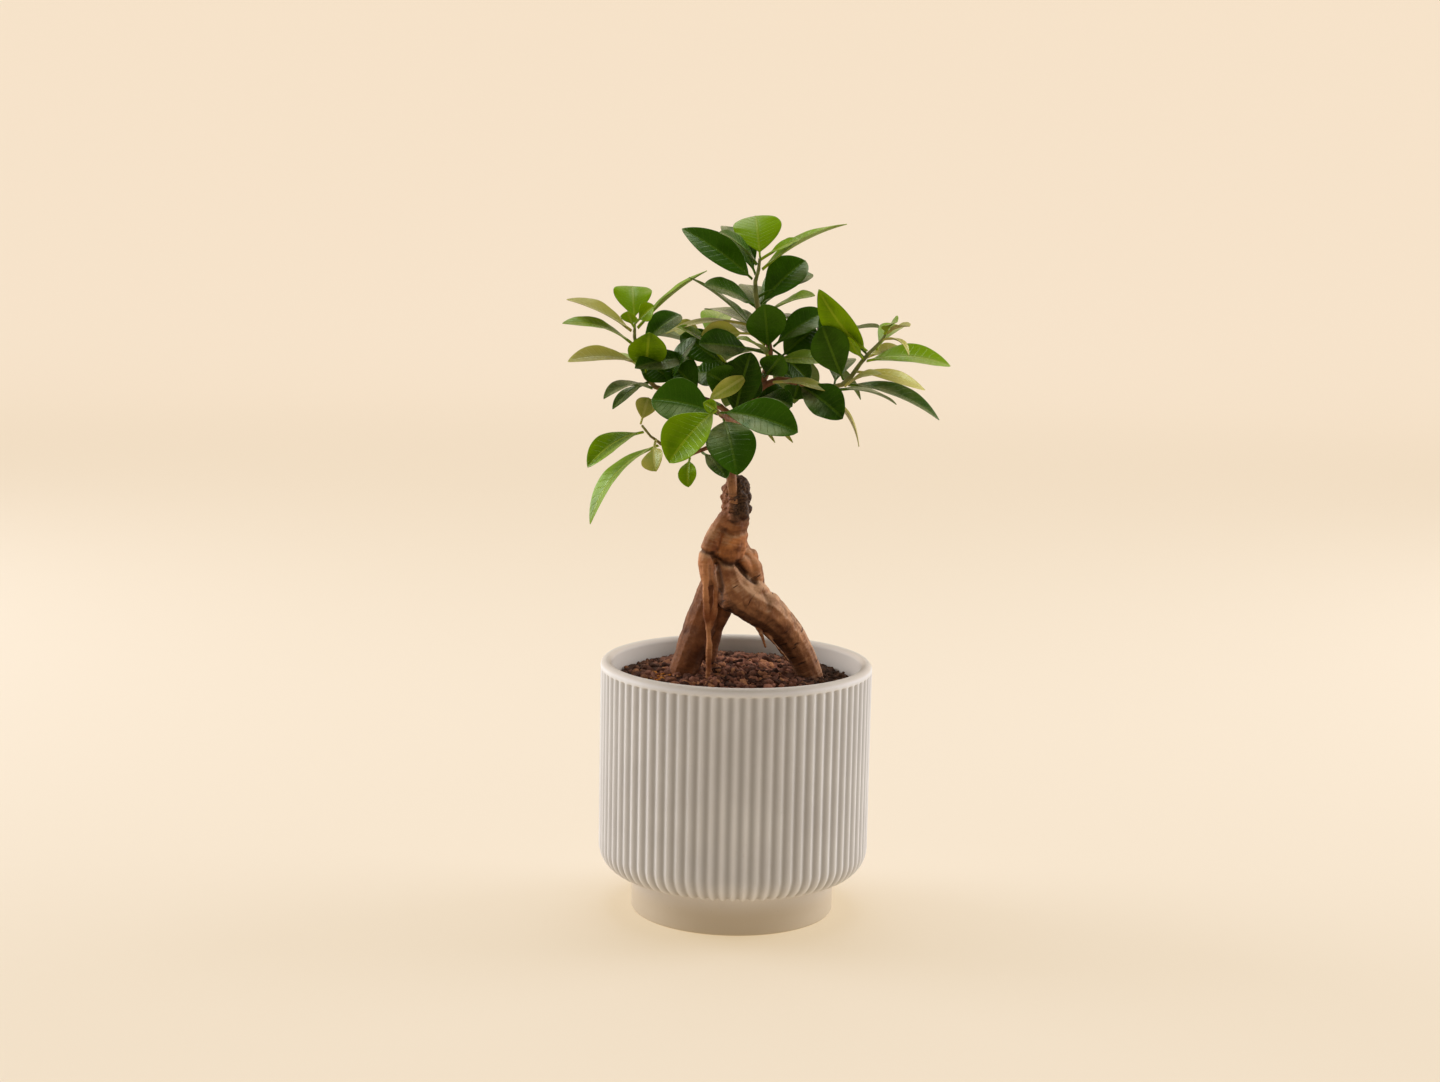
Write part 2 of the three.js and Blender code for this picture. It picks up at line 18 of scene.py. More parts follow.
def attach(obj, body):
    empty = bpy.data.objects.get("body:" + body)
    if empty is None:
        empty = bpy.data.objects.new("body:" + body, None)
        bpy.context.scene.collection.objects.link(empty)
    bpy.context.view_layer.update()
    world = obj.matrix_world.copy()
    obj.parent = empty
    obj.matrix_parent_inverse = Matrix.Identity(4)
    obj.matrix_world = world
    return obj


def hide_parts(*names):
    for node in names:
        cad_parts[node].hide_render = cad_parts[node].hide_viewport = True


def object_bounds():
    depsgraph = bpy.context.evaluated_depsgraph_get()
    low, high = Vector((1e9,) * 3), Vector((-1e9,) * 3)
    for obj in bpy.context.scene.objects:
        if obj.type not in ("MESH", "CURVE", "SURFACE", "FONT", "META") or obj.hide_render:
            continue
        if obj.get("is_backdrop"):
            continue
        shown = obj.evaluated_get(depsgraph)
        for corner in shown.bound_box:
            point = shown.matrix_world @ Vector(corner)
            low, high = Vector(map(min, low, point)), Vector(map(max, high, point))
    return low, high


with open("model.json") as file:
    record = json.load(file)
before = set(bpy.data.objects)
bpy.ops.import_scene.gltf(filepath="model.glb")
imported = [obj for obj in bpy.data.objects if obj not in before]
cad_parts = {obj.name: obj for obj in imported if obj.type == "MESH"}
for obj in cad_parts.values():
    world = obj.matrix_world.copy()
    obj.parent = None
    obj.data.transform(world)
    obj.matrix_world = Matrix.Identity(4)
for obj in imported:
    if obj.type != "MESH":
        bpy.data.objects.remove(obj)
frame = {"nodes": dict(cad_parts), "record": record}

scene = bpy.context.scene
MM = 0.001
measured_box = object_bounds()
slot_of = {part["node"]: part["material_slot"] for part in frame["record"]["subparts"]}
print("measured box:", measured_box)

# %% [markdown]
# ## Camera and studio
# A long lens a little above the rim looks slightly down on the plant, so the pot shows a thin ellipse of
# soil. A camera is three numbers of place and three of turn. The turn could be typed as angles, but
# giving it a level line of sight, then a pitch and a small roll, says what it means.

# %% Camera
CAMERA_PLACE = Vector((-0.0097, -1.200, 0.3847))
CAMERA_PITCH = math.radians(9.08)
CAMERA_ROLL = math.radians(1.12)
LENS = 59.3


def show(name, data):
    """A new object in the scene."""
    thing = bpy.data.objects.new(name, data)
    scene.collection.objects.link(thing)
    return thing


lens = bpy.data.cameras.new("studio_camera")
lens.lens = LENS
lens.sensor_width = 36
camera = show("studio_camera", lens)
level = Matrix.Rotation(math.radians(90), 4, "X")
pitched = Matrix.Rotation(-CAMERA_PITCH, 4, "X")
rolled = Matrix.Rotation(CAMERA_ROLL, 4, "Z")
camera.matrix_world = Matrix.Translation(CAMERA_PLACE) @ pitched @ level @ rolled
scene.camera = camera
print("camera:", camera.location)


# %% [markdown]
# ## Short ways to build a node tree
# Geometry Nodes and materials are both trees of nodes. Placing each node by hand takes four lines, so a
# few small helpers do it. A wire is one result of a node. It can stand in a formula like a number, and
# each sign in the formula adds one node to the tree on the bench. A tree written this way reads nearly
# like the formula that it stands for.

# %% Node helpers
class Bench:
    """Holds the tree that is being built."""

    tree = None


class Wire:
    """One result of a node, which can stand in a formula like a number."""

    def __init__(self, socket):
        self.socket = socket


def plug(socket, value):
    """Wire a socket to a result, or set it to a plain value."""
    if isinstance(value, Wire):
        Bench.tree.links.new(value.socket, socket)
    else:
        socket.default_value = value


def add_node(kind, inputs=None, **options):
    """Add a node, set its options, then fill its inputs."""
    node = Bench.tree.nodes.new(kind)
    for option, value in options.items():
        setattr(node, option, value)
    for socket, value in (inputs or {}).items():
        plug(node.inputs[socket], value)
    return node


def put(kind, inputs=None, take=0, **options):
    """Add a node and return one of its results."""
    return Wire(add_node(kind, inputs, **options).outputs[take])


def calc(operation, *values):
    """Add one sum and return its result."""
    return put("ShaderNodeMath", dict(enumerate(values)), operation=operation)


def teach(sign, operation):
    """Let wires stand on either side of a sign."""
    setattr(Wire, f"__{sign}__", lambda self, other: calc(operation, self, other))
    setattr(Wire, f"__r{sign}__", lambda self, other: calc(operation, other, self))


teach("add", "ADD")
teach("sub", "SUBTRACT")
teach("mul", "MULTIPLY")
teach("truediv", "DIVIDE")
teach("pow", "POWER")


def times_plus(first, second, third):
    """The first times the second, plus the third, in one node."""
    return calc("MULTIPLY_ADD", first, second, third)


def ramp(value, low, high, start=0.0, end=1.0):
    """Turn low..high into start..end, eased at both ends."""
    inputs = {0: value, 1: low, 2: high, 3: start, 4: end}
    return put("ShaderNodeMapRange", inputs, interpolation_type="SMOOTHSTEP")


def colour(code):
    """A colour such as 8a6a48 as the light values that nodes use."""
    parts = [int(code[i:i + 2], 16) / 255 for i in (0, 2, 4)]
    light = [p / 12.92 if p < 0.04045 else ((p + 0.055) / 1.055) ** 2.4 for p in parts]
    return (*light, 1)


# %% [markdown]
# ## Running a Geometry Nodes tree
# A tree is a recipe with named inputs. The modifier keeps each input under its socket's identifier, so
# the value is looked up by name once and stored by identifier. The evaluated result is then copied into
# a plain mesh and the modifier is removed, because only real geometry leaves Blender with the object.
# The helpers after that are short names for nodes that most recipes use.

# %% Recipe helpers
def recipe(name, numbers, others=None):
    """A new Geometry Nodes tree with one geometry in, one out, the named inputs and the finish."""
    tree = bpy.data.node_groups.new(name, "GeometryNodeTree")
    kinds = {"Geometry": "Geometry", **dict.fromkeys(numbers, "Float"), **(others or {})}
    kinds["Finish"] = "Material"
    for label, kind in kinds.items():
        tree.interface.new_socket(label, in_out="INPUT", socket_type="NodeSocket" + kind)
    tree.interface.new_socket("Geometry", in_out="OUTPUT", socket_type="NodeSocketGeometry")
    Bench.tree = tree
    return {socket.name: Wire(socket) for socket in add_node("NodeGroupInput").outputs}


def close_recipe(shape, finish):
    """End a tree: real geometry, smooth faces and the finish."""
    real = put("GeometryNodeRealizeInstances", {"Geometry": shape})
    smooth = put("GeometryNodeSetShadeSmooth", {"Geometry": real})
    coated = put("GeometryNodeSetMaterial", {"Geometry": smooth, "Material": finish})
    add_node("NodeGroupOutput", {"Geometry": coated})
    return Bench.tree


def make(name, tree, values, base=None):
    """Run a tree on a mesh and return the result as a plain object."""
    piece = show(name, base or bpy.data.meshes.new(name))
    steps = piece.modifiers.new("recipe", "NODES")
    steps.node_group = tree
    for socket in tree.interface.items_tree:
        if socket.in_out == "INPUT" and socket.name in values:
            steps[socket.identifier] = values[socket.name]
    graph = bpy.context.evaluated_depsgraph_get()
    shape = piece.evaluated_get(graph)
    result = bpy.data.meshes.new_from_object(shape, preserve_all_data_layers=True, depsgraph=graph)
    piece.modifiers.clear()
    piece.data = result
    result.name = name
    return piece


def keep(shape, name, value, holder="POINT"):
    """Store a number on every point or every copy, for the finish to read."""
    inputs = {"Geometry": shape, "Name": name, "Value": value}
    return put("GeometryNodeStoreNamedAttribute", inputs, domain=holder, data_type="FLOAT")


def apart(vector):
    """The three parts of a vector."""
    return [Wire(part) for part in add_node("ShaderNodeSeparateXYZ", {0: vector}).outputs]


def together(x, y, z):
    """One vector from three parts."""
    return put("ShaderNodeCombineXYZ", {0: x, 1: y, 2: z})


def noise(vector, scale, detail, roughness):
    """Soft random values from 0 to 1."""
    inputs = {"Vector": vector, "Scale": scale, "Detail": detail, "Roughness": roughness}
    return put("ShaderNodeTexNoise", inputs)


def arrow(operation, first, second=(0, 0, 0), scale=1.0, take=0):
    """Add one sum of vectors and return its result."""
    inputs = {0: first, 1: second, 3: scale}
    return put("ShaderNodeVectorMath", inputs, take, operation=operation)


def stretched(vector, x, y, z):
    """A vector scaled differently along each axis."""
    return arrow("MULTIPLY", vector, (x, y, z))


def from_axis(spot):
    """How far a spot lies from the upright axis."""
    return arrow("LENGTH", stretched(spot, 1.0, 1.0, 0.0), take="Value")


def moved(shape, push):
    """The shape with each of its points pushed."""
    return put("GeometryNodeSetPosition", {"Geometry": shape, "Offset": push})


def measured(name, kind="FLOAT"):
    """A number or vector stored on the points, read inside a recipe."""
    return put("GeometryNodeInputNamedAttribute", {"Name": name}, data_type=kind)


# %% [markdown]
# ## Starting a finish
# Every finish here is one Principled shader, fed by noise and by numbers stored on the mesh. Bump only
# carries what is too fine for geometry. A value that is the same all over is typed on the shader itself.

# %% Finish helpers
def new_finish(name, **fixed):
    """A material with one Principled shader, with its fixed values typed in."""
    material = bpy.data.materials.new(name)
    material.use_nodes = True
    Bench.tree = material.node_tree
    shader = Bench.tree.nodes["Principled BSDF"]
    for socket, value in fixed.items():
        shader.inputs[socket.replace("_", " ")].default_value = value
    return material, shader


def stored(name):
    """A number stored on the mesh."""
    return put("ShaderNodeAttribute", take="Fac", attribute_name=name)


def place():
    """Where a point lies on the piece, in metres."""
    return put("ShaderNodeTexCoord", take="Object")


def facing_up():
    """How far the surface faces up, from -1 to 1."""
    return apart(put("ShaderNodeNewGeometry", take="Normal"))[2]


def blend(share, first, second):
    """Mix two colours by a share from 0 to 1. A colour may be given by its code."""
    first, second = [colour(tone) if isinstance(tone, str) else tone for tone in (first, second)]
    return put("ShaderNodeMix", {0: share, 6: first, 7: second}, take=2, data_type="RGBA")


def close_finish(material, shader, tone, rough, height, depth, strength):
    """End a finish: its colour, its roughness and its bump, whose depth is in metres."""
    inputs = {"Height": height, "Distance": depth, "Strength": strength}
    plug(shader.inputs["Base Color"], tone)
    plug(shader.inputs["Roughness"], rough)
    plug(shader.inputs["Normal"], put("ShaderNodeBump", inputs))
    return material


def seat(piece, slot, *nodes):
    """Fix a piece to the object, in place of the measured solids that it stands for."""
    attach(piece, "root")
    if nodes:
        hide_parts(*nodes)
    return piece


# %% [markdown]
# ## Floor and light
# The set is a round pale floor that curves up into a wall behind the plant, so no corner or horizon
# shows. In front the wall dies away, which leaves the front of the pot in softer light than its sides.
# Most of the card's brightness is its own glow, which is warm and dim near the pot and paler further
# out. The rest of it takes the soft shadow under the pot.

# %% Round backdrop
STUDIO_RADIUS = 4.2
STUDIO_HEIGHT = 4.0
SWEEP_RADIUS = 1.6
STUDIO_SIDES = 96
CREAM = colour("f5e3c8")
CARD = (0.27, 0.27, 0.275, 1)
GLOW_NEAR = (0.575, 0.435, 0.255, 1)
GLOW_FAR = (0.75, 0.61, 0.45, 1)
WALL_FADE = (-0.45, -0.05)
FRONT_REACH = 8


def poured(shape, name):
    """A mesh made from a shape that is still being worked on."""
    mesh = bpy.data.meshes.new(name)
    shape.to_mesh(mesh)
    shape.free()
    return mesh


def studio_profile():
    """Points of the floor, the sweep and the wall, from the middle outwards."""
    points = [(0, 0), (0.3, 0), (1.0, 0), (STUDIO_RADIUS - SWEEP_RADIUS, 0)]
    for step in range(1, 17):
        angle = math.radians(90 * step / 16)
        out = STUDIO_RADIUS - SWEEP_RADIUS + SWEEP_RADIUS * math.sin(angle)
        points.append((out, SWEEP_RADIUS * (1 - math.cos(angle))))
    return points + [(STUDIO_RADIUS, STUDIO_HEIGHT)]


def wall_share(turn):
    """How much of the wall stands at this angle: all of it behind the plant, none in front."""
    low, high = WALL_FADE
    share = min(1.0, max(0.0, (math.sin(turn) - low) / (high - low)))
    return share * share * (3 - 2 * share)


def studio_mesh():
    """The profile turned about the upright axis."""
    shape = bmesh.new()
    rings = []
    turns = [math.tau * i / STUDIO_SIDES for i in range(STUDIO_SIDES)]
    for radius, height in studio_profile():
        reach = [radius + (1 - wall_share(t)) * FRONT_REACH * max(0, radius - 2) for t in turns]
        ring = [(r * math.cos(t), r * math.sin(t), height * wall_share(t)) for r, t in zip(reach, turns)]
        rings.append([shape.verts.new(spot) for spot in ring])
    for inner, outer in zip(rings, rings[1:]):
        for i in range(STUDIO_SIDES):
            j = (i + 1) % STUDIO_SIDES
            shape.faces.new((inner[i], outer[i], outer[j], inner[j]))
    bmesh.ops.remove_doubles(shape, verts=shape.verts, dist=1e-5)
    for face in shape.faces:
        face.smooth = True
    return poured(shape, "backdrop")


def backdrop_finish():
    """Pale card that glows a little, so that the light falls off softly."""
    material, shader = new_finish("pale_card", Base_Color=CARD, Roughness=1.0,
                                  Specular_IOR_Level=0.0, Emission_Strength=1.0)
    out = arrow("LENGTH", place(), take="Value")
    plug(shader.inputs["Emission Color"], blend(ramp(out, 0.6, 3.3), GLOW_NEAR, GLOW_FAR))
    return material


backdrop = show("backdrop", studio_mesh())
backdrop.data.materials.append(backdrop_finish())
backdrop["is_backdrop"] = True

# %% [markdown]
# Two broad lamps stand at the left and the right, a little behind the plant, and a third hangs above.
# The pot's sides come out brighter than its middle, and each leaf gets a pale sheen on its upper face,
# to which the leaf finish adds a painted sheen.

# %% Lamps
LAMP_AIM = Vector((0, 0, 0.2))
LAMP_TINT = (0.92, 0.95, 1.0)
LOW_AIR_SHARE = 0.93
LAMPS = {
    "left_lamp": ((-1.5, 0.5, 0.7), 1.1, 21.0),
    "right_lamp": ((1.5, 0.5, 0.7), 1.1, 19.5),
    "top_lamp": ((0.0, 0.45, 1.9), 1.2, 17.0),
}
for name, (spot, size, power) in LAMPS.items():
    lamp = bpy.data.lights.new(name, "AREA")
    lamp.shape = "DISK"
    lamp.size = size
    lamp.energy = power
    lamp.color = LAMP_TINT
    holder = show(name, lamp)
    holder.location = spot
    holder.rotation_mode = "QUATERNION"
    holder.rotation_quaternion = (LAMP_AIM - Vector(spot)).to_track_quat("-Z", "Y")
    holder.visible_camera = False

world = bpy.data.worlds.new("studio_air")
world.use_nodes = True
Bench.tree = world.node_tree
height = apart(put("ShaderNodeTexCoord", take="Generated"))[2]
dim_ceiling = (0.30, 0.31, 0.32, 1)
low_air = tuple(c * LOW_AIR_SHARE for c in CREAM[:3]) + (1,)
plug(Bench.tree.nodes["Background"].inputs[0], blend(ramp(height, 0.02, 0.3), low_air, dim_ceiling))
scene.world = world
scene.view_settings.view_transform = "Standard"
print("lamps:", list(LAMPS))

# %% [markdown]
# ## One recipe for everything that is turned
# The pot and the body of soil are both turned shapes: a profile swept once round the upright axis. A
# Screw modifier could do it, but ribs need a different radius at each angle. This tree lays out a grid
# instead. Each column takes an angle and each row a point of the profile, and then the groove or the
# rough relief moves it. Merging by distance closes the seam and the two poles.

# %% Turned-shape recipe
MERGE_WITHIN = 0.00002
SOIL_EDGE = 64.2


def turned_recipe():
    """Sweep the profile round Z. The profile lies in X and Z, with numbers stored on its points."""
    given = recipe("turned_shape", ["Ribs", "Rib Depth", "Relief", "Relief Scale", "Mound"],
                   {"Around": "Int", "Rise": "Vector"})
    rows = put("GeometryNodeAttributeDomainSize", {0: given["Geometry"]}, take="Point Count")
    columns = given["Around"] + 1.0
    grid = put("GeometryNodeMeshGrid", {"Vertices X": columns, "Vertices Y": rows})
    index = put("GeometryNodeInputIndex")
    row = calc("MODULO", index, rows)
    column = calc("FLOOR", index / rows)
    turn = column / given["Around"] * math.tau

    def from_profile(value, kind):
        inputs = {"Geometry": given["Geometry"], "Index": row, "Value": value}
        return put("GeometryNodeSampleIndex", inputs, data_type=kind)

    spot = apart(from_profile(put("GeometryNodeInputPosition"), "FLOAT_VECTOR"))
    press = apart(from_profile(measured("press", "FLOAT_VECTOR"), "FLOAT_VECTOR"))
    loose = from_profile(measured("loose"), "FLOAT")
    wave = calc("COSINE", turn * given["Ribs"])
    hollow = (1.0 - wave) * 0.5
    groove = hollow * given["Rib Depth"]
    radius = spot[0] + press[0] * groove
    height = spot[2] + press[2] * groove
    x = radius * calc("COSINE", turn)
    y = radius * calc("SINE", turn)
    flat = together(x, y, 0.0)
    rough = noise(flat, given["Relief Scale"], 5.0, 0.6) - 0.5
    share = radius / (SOIL_EDGE * MM)
    dome = 1.0 - share * share
    slope = arrow("DOT_PRODUCT", flat, given["Rise"], take="Value")
    lift = times_plus(rough, given["Relief"], slope)
    lift = times_plus(dome, given["Mound"], lift)
    height = times_plus(lift, loose, height)
    shaped = put("GeometryNodeSetPosition", {"Geometry": grid, "Position": together(x, y, height)})
    # How deep a point lies in a groove, kept for the finish, which paints shade there.
    shaped = keep(shaped, "groove", hollow * press[1])
    closed = put("GeometryNodeMergeByDistance", {"Geometry": shaped, "Distance": MERGE_WITHIN})
    return close_recipe(closed, given["Finish"])


turned_shape = turned_recipe()


def profile_mesh(name, rows):
    """A polyline of rows (radius, height, press x, pressed share, press z, loose), in millimetres."""
    mesh = bpy.data.meshes.new(name)
    spots = [(r[0] * MM, 0, r[1] * MM) for r in rows]
    mesh.from_pydata(spots, [(i, i + 1) for i in range(len(rows) - 1)], [])
    press = mesh.attributes.new("press", "FLOAT_VECTOR", "POINT")
    press.data.foreach_set("vector", [value for r in rows for value in r[2:5]])
    loose = mesh.attributes.new("loose", "FLOAT", "POINT")
    loose.data.foreach_set("value", [r[5] for r in rows])
    return mesh


def straight(start, end, steps, extra=(0, 0, 0, 0)):
    """Rows evenly along a line, without its first point."""
    rows = []
    for i in range(1, steps + 1):
        t = i / steps
        rows.append((start[0] + (end[0] - start[0]) * t, start[1] + (end[1] - start[1]) * t, *extra))
    return rows


def bend(centre, radius, first, last, steps, ribbed=0.0):
    """Rows round a corner from one angle to another, pressed in towards its centre where ribbed."""
    rows = []
    for i in range(steps + 1):
        angle = math.radians(first + (last - first) * i / steps)
        c, s = math.cos(angle), math.sin(angle)
        rows.append((centre[0] + radius * c, centre[1] + radius * s, -c * ribbed, ribbed, -s * ribbed, 0))
    return rows


# %% [markdown]
# ## Pot
# The real pot is slip-cast stoneware: an even wall, upright ribs all round, a plain rim band above them
# and a narrower plain foot below. The ribs wrap round the bottom corner and fade out under it. The
# profile below follows the outside up, turns over the rounded lip and goes down the inside to the floor.

# %% Pot shape
POT_RADIUS = 70.0
POT_HEIGHT = 131.0
WALL = 5.5
FOOT_RADIUS = 52.5
FOOT_HEIGHT = 20.0
CORNER = 14.0
RIB_COUNT = 76
RIB_DEPTH = 1.2
RIB_TOP = 126.6


def pot_rows():
    """The pot's profile, from the middle of its underside to the middle of its floor."""
    corner = (POT_RADIUS - CORNER, FOOT_HEIGHT + CORNER)
    lip = (POT_RADIUS - WALL / 2, POT_HEIGHT - WALL / 2)
    foot_inside = FOOT_RADIUS - WALL
    rows = [(0, 0, 0, 0, 0, 0)]
    rows += straight((0, 0), (FOOT_RADIUS - 1, 0), 5)
    rows += bend((FOOT_RADIUS - 1, 1), 1, -80, 0, 4)
    rows += straight((FOOT_RADIUS, 1), (FOOT_RADIUS, FOOT_HEIGHT - 0.6), 5)
    rows += [(FOOT_RADIUS + 0.2, FOOT_HEIGHT - 0.2, 0, 0.2, 0.2, 0)]
    rows += [(FOOT_RADIUS + 0.7, FOOT_HEIGHT, 0, 0.6, 0.6, 0), (FOOT_RADIUS + 2, FOOT_HEIGHT, 0, 1, 1, 0)]
    rows += bend(corner, CORNER, -90, 0, 16, 1.0)
    rows += straight((POT_RADIUS, corner[1]), (POT_RADIUS, RIB_TOP - 0.6), 24, (-1, 1, 0, 0))
    for share in (0.92, 0.7, 0.35, 0.1, 0.0):
        rows.append((POT_RADIUS, RIB_TOP + 0.5 - share * 0.9, -share, share, 0, 0))
    rows += bend(lip, WALL / 2, 0, 180, 14)
    rows += straight((POT_RADIUS - WALL, lip[1]), (POT_RADIUS - WALL, corner[1]), 12)
    rows += bend(corner, CORNER - WALL, -8, -90, 8)
    rows += straight((corner[0], FOOT_HEIGHT + WALL), (foot_inside, FOOT_HEIGHT + WALL), 2)
    rows += straight((foot_inside, FOOT_HEIGHT + WALL), (foot_inside, 9), 3)
    return rows + [(foot_inside - 3, 6, 0, 0, 0, 0)] + straight((foot_inside - 3, 6), (0, 6), 4)


# %% [markdown]
# The clay is a pale warm grey with a dry, matt glaze. Up close it has fine grain and faint clouds where the
# slip pooled. Painted shade makes the grooves slightly darker and the upward faces warmer and darker,
# and painted shade with warm bounce light from the floor darkens the foot.

# %% Pot finish
def glazed_clay():
    """Matt warm grey stoneware."""
    material, shader = new_finish("matt_stoneware")
    here = place()
    clouds = noise(here, 26.0, 4.0, 0.55)
    grain = noise(here, 2600.0, 3.0, 0.6)
    specks = ramp(noise(here, 900.0, 2.0, 0.6), 0.68, 0.76)
    tone = blend(ramp(clouds, 0.3, 0.7), "d8d6d7", "e2e0e0")
    # Painted shade: the grooves are drawn darker.
    tone = blend(stored("groove") * 0.66, tone, "8d8780")
    inside = ramp(from_axis(here), 0.0685, 0.0665)
    # Painted shade and warm bounce light from the floor: the foot is drawn warmer and darker towards the
    # bottom.
    tone = blend(ramp(apart(here)[2], 0.026, 0.008, 0.0, 0.85), tone, "c0b096")
    tone = blend(inside * ramp(apart(here)[2], 0.1, 0.112), tone, "d2cac1")
    # Painted shade: faces that look up, such as the top of the lip, are drawn warmer and darker.
    tone = blend(ramp(facing_up(), 0.1, 0.7, 0.0, 0.9), tone, "c8bcae")
    tone = blend(specks * 0.16, tone, "7d756b")
    rough = ramp(grain, 0.2, 0.8, 0.54, 0.72)
    return close_finish(material, shader, tone, rough, times_plus(clouds, 2.0, grain), 0.00008, 0.6)


pot = make("ribbed_pot", turned_shape, {
    "Around": RIB_COUNT * 8,
    "Ribs": float(RIB_COUNT),
    "Rib Depth": RIB_DEPTH * MM,
    "Finish": glazed_clay(),
}, profile_mesh("pot_profile", pot_rows()))
seat(pot, "pot_ceramic", "pot")
print("pot faces:", len(pot.data.polygons))

# %% [markdown]
# ## Soil
# The mix is coarse bark and peat, heaped a little in the middle and rising towards the back. Its body
# is the same turned shape, with a rough top. Loose chips are then scattered over that top: the tree
# picks random points, sets a small block with rounded corners on each, turns and stretches it, and
# bends it with noise so that no two are alike.

# %% Soil body
SOIL_TOP = 118.0
soil_rows = [(0, 6.3, 0, 0, 0, 0)] + straight((0, 6.3), (43.7, 6.3), 4)
soil_rows += [(46.7, 9.3, 0, 0, 0, 0), (46.7, 25.8, 0, 0, 0, 0), (56, 25.8, 0, 0, 0, 0)]
soil_rows += bend((56, 34), 8.2, -80, 0, 8)
soil_rows += straight((SOIL_EDGE, 34), (SOIL_EDGE, SOIL_TOP - 2), 6)
soil_rows += [(SOIL_EDGE, SOIL_TOP - 0.5, 0, 0, 0, 0.8), (SOIL_EDGE - 0.8, SOIL_TOP, 0, 0, 0, 1)]
soil_rows += straight((SOIL_EDGE - 0.8, SOIL_TOP), (0, SOIL_TOP), 90, (0, 0, 0, 1))


def bark_mix():
    """Damp reddish-brown bark and dark peat, darker to the right, with painted shade along the wall."""
    material, shader = new_finish("bark_mix", Specular_IOR_Level=0.15)
    here = place()
    x = apart(here)[0]
    tint = stored("tint")
    patches = noise(here, 70.0, 5.0, 0.65)
    crumbs = noise(here, 900.0, 4.0, 0.7)
    side = ramp(x, 0.022, 0.046)
    lit = times_plus(tint, 0.75, patches * 0.5)
    tone = blend(ramp(lit, 0.25, 0.85), "43271a", "94604a")
    tone = blend(ramp(tint, 0.78, 0.97, 0.0, 0.7), tone, "bd8052")
    tone = blend(side * 0.72, tone, "35251a")
    # Painted shade: the soil is drawn darker towards the pot's wall.
    tone = blend(ramp(from_axis(here), 0.03, 0.058, 0.0, 0.5), tone, "3a2a1b")
    tone = blend(ramp(crumbs, 0.45, 0.75, 0.0, 0.5), tone, "2a1811")
    rough = ramp(crumbs, 0.2, 0.8, 0.75, 0.98)
    return close_finish(material, shader, tone, rough, crumbs, 0.0009, 0.8)


soil_finish = bark_mix()
soil = make("soil_body", turned_shape, {
    "Around": 220,
    "Relief": 6.0 * MM,
    "Relief Scale": 75.0,
    "Mound": 6.5 * MM,
    "Rise": (-0.012, 0.05, 0.0),
    "Finish": soil_finish,
}, profile_mesh("soil_profile", soil_rows))
seat(soil, "potting_mix", "soil")
print("soil faces:", len(soil.data.polygons))


# %% Chip recipe
SOWN_ABOVE = 0.11
SOWN_FACING_UP = 0.3
BLOCK_POINTS = 3
BALL_RADIUS = 0.55
ROUNDED = 0.5


def litter_recipe():
    """Scatter bent chips over the upward faces inside a circle."""
    given = recipe("bark_litter", ["Density", "Reach", "Tilt", "Bend"],
                   {"Centre": "Vector", "Small": "Vector", "Large": "Vector", "Seed": "Int"})
    spot = put("GeometryNodeInputPosition")
    near = calc("LESS_THAN", from_axis(arrow("SUBTRACT", spot, given["Centre"])), given["Reach"])
    upward = calc("GREATER_THAN", apart(put("GeometryNodeInputNormal"))[2], SOWN_FACING_UP)
    high = calc("GREATER_THAN", apart(spot)[2], SOWN_ABOVE)
    points = put("GeometryNodeDistributePointsOnFaces", {
        "Mesh": given["Geometry"], "Selection": near * upward * high, "Density": given["Density"],
        "Seed": given["Seed"],
    }, distribute_method="RANDOM")
    block = put("GeometryNodeMeshCube", {f"Vertices {axis}": BLOCK_POINTS for axis in "XYZ"})
    ball = stretched(arrow("NORMALIZE", spot), BALL_RADIUS, BALL_RADIUS, BALL_RADIUS)
    lump = moved(block, arrow("SCALE", arrow("SUBTRACT", ball, spot), scale=ROUNDED))
    tilt = put("FunctionNodeRandomValue", {
        0: together(given["Tilt"] * -1.0, given["Tilt"] * -1.0, 0.0),
        1: together(given["Tilt"], given["Tilt"], math.tau), "Seed": given["Seed"],
    }, data_type="FLOAT_VECTOR")
    size = put("FunctionNodeRandomValue", {
        0: given["Small"], 1: given["Large"], "Seed": given["Seed"] + 5.0,
    }, data_type="FLOAT_VECTOR")
    chips = put("GeometryNodeInstanceOnPoints", {
        "Points": points, "Instance": lump, "Rotation": tilt, "Scale": size,
    })
    tint = put("FunctionNodeRandomValue", {"Seed": given["Seed"] + 9.0}, take=1, data_type="FLOAT")
    chips = keep(chips, "tint", tint, "INSTANCE")
    real = put("GeometryNodeRealizeInstances", {"Geometry": chips})
    drift = put("ShaderNodeTexNoise", {"Scale": 520.0, "Detail": 1.0}, take=1)
    push = arrow("SCALE", arrow("SUBTRACT", drift, (0.5, 0.5, 0.5)), scale=given["Bend"])
    return close_recipe(moved(real, push), given["Finish"])


bark_litter = litter_recipe()

# %% [markdown]
# Four sowings make the surface: crumbs everywhere, larger bark chips in the middle, and a few ochre bits
# and dry moss beside the left root. Each sowing keeps clear of the pot's wall.

# %% Chips, crumbs and moss
def fleck_mix(name, dark, light):
    """Small bits whose tone goes from one colour to another."""
    material, shader = new_finish(name, Specular_IOR_Level=0.15)
    here = place()
    grain = noise(here, 800.0, 4.0, 0.65)
    tint = times_plus(grain, 0.5, stored("tint") * 0.7)
    tone = blend(ramp(tint, 0.25, 0.95), dark, light)
    return close_finish(material, shader, tone, ramp(grain, 0.2, 0.8, 0.75, 0.96), grain, 0.0006, 0.7)


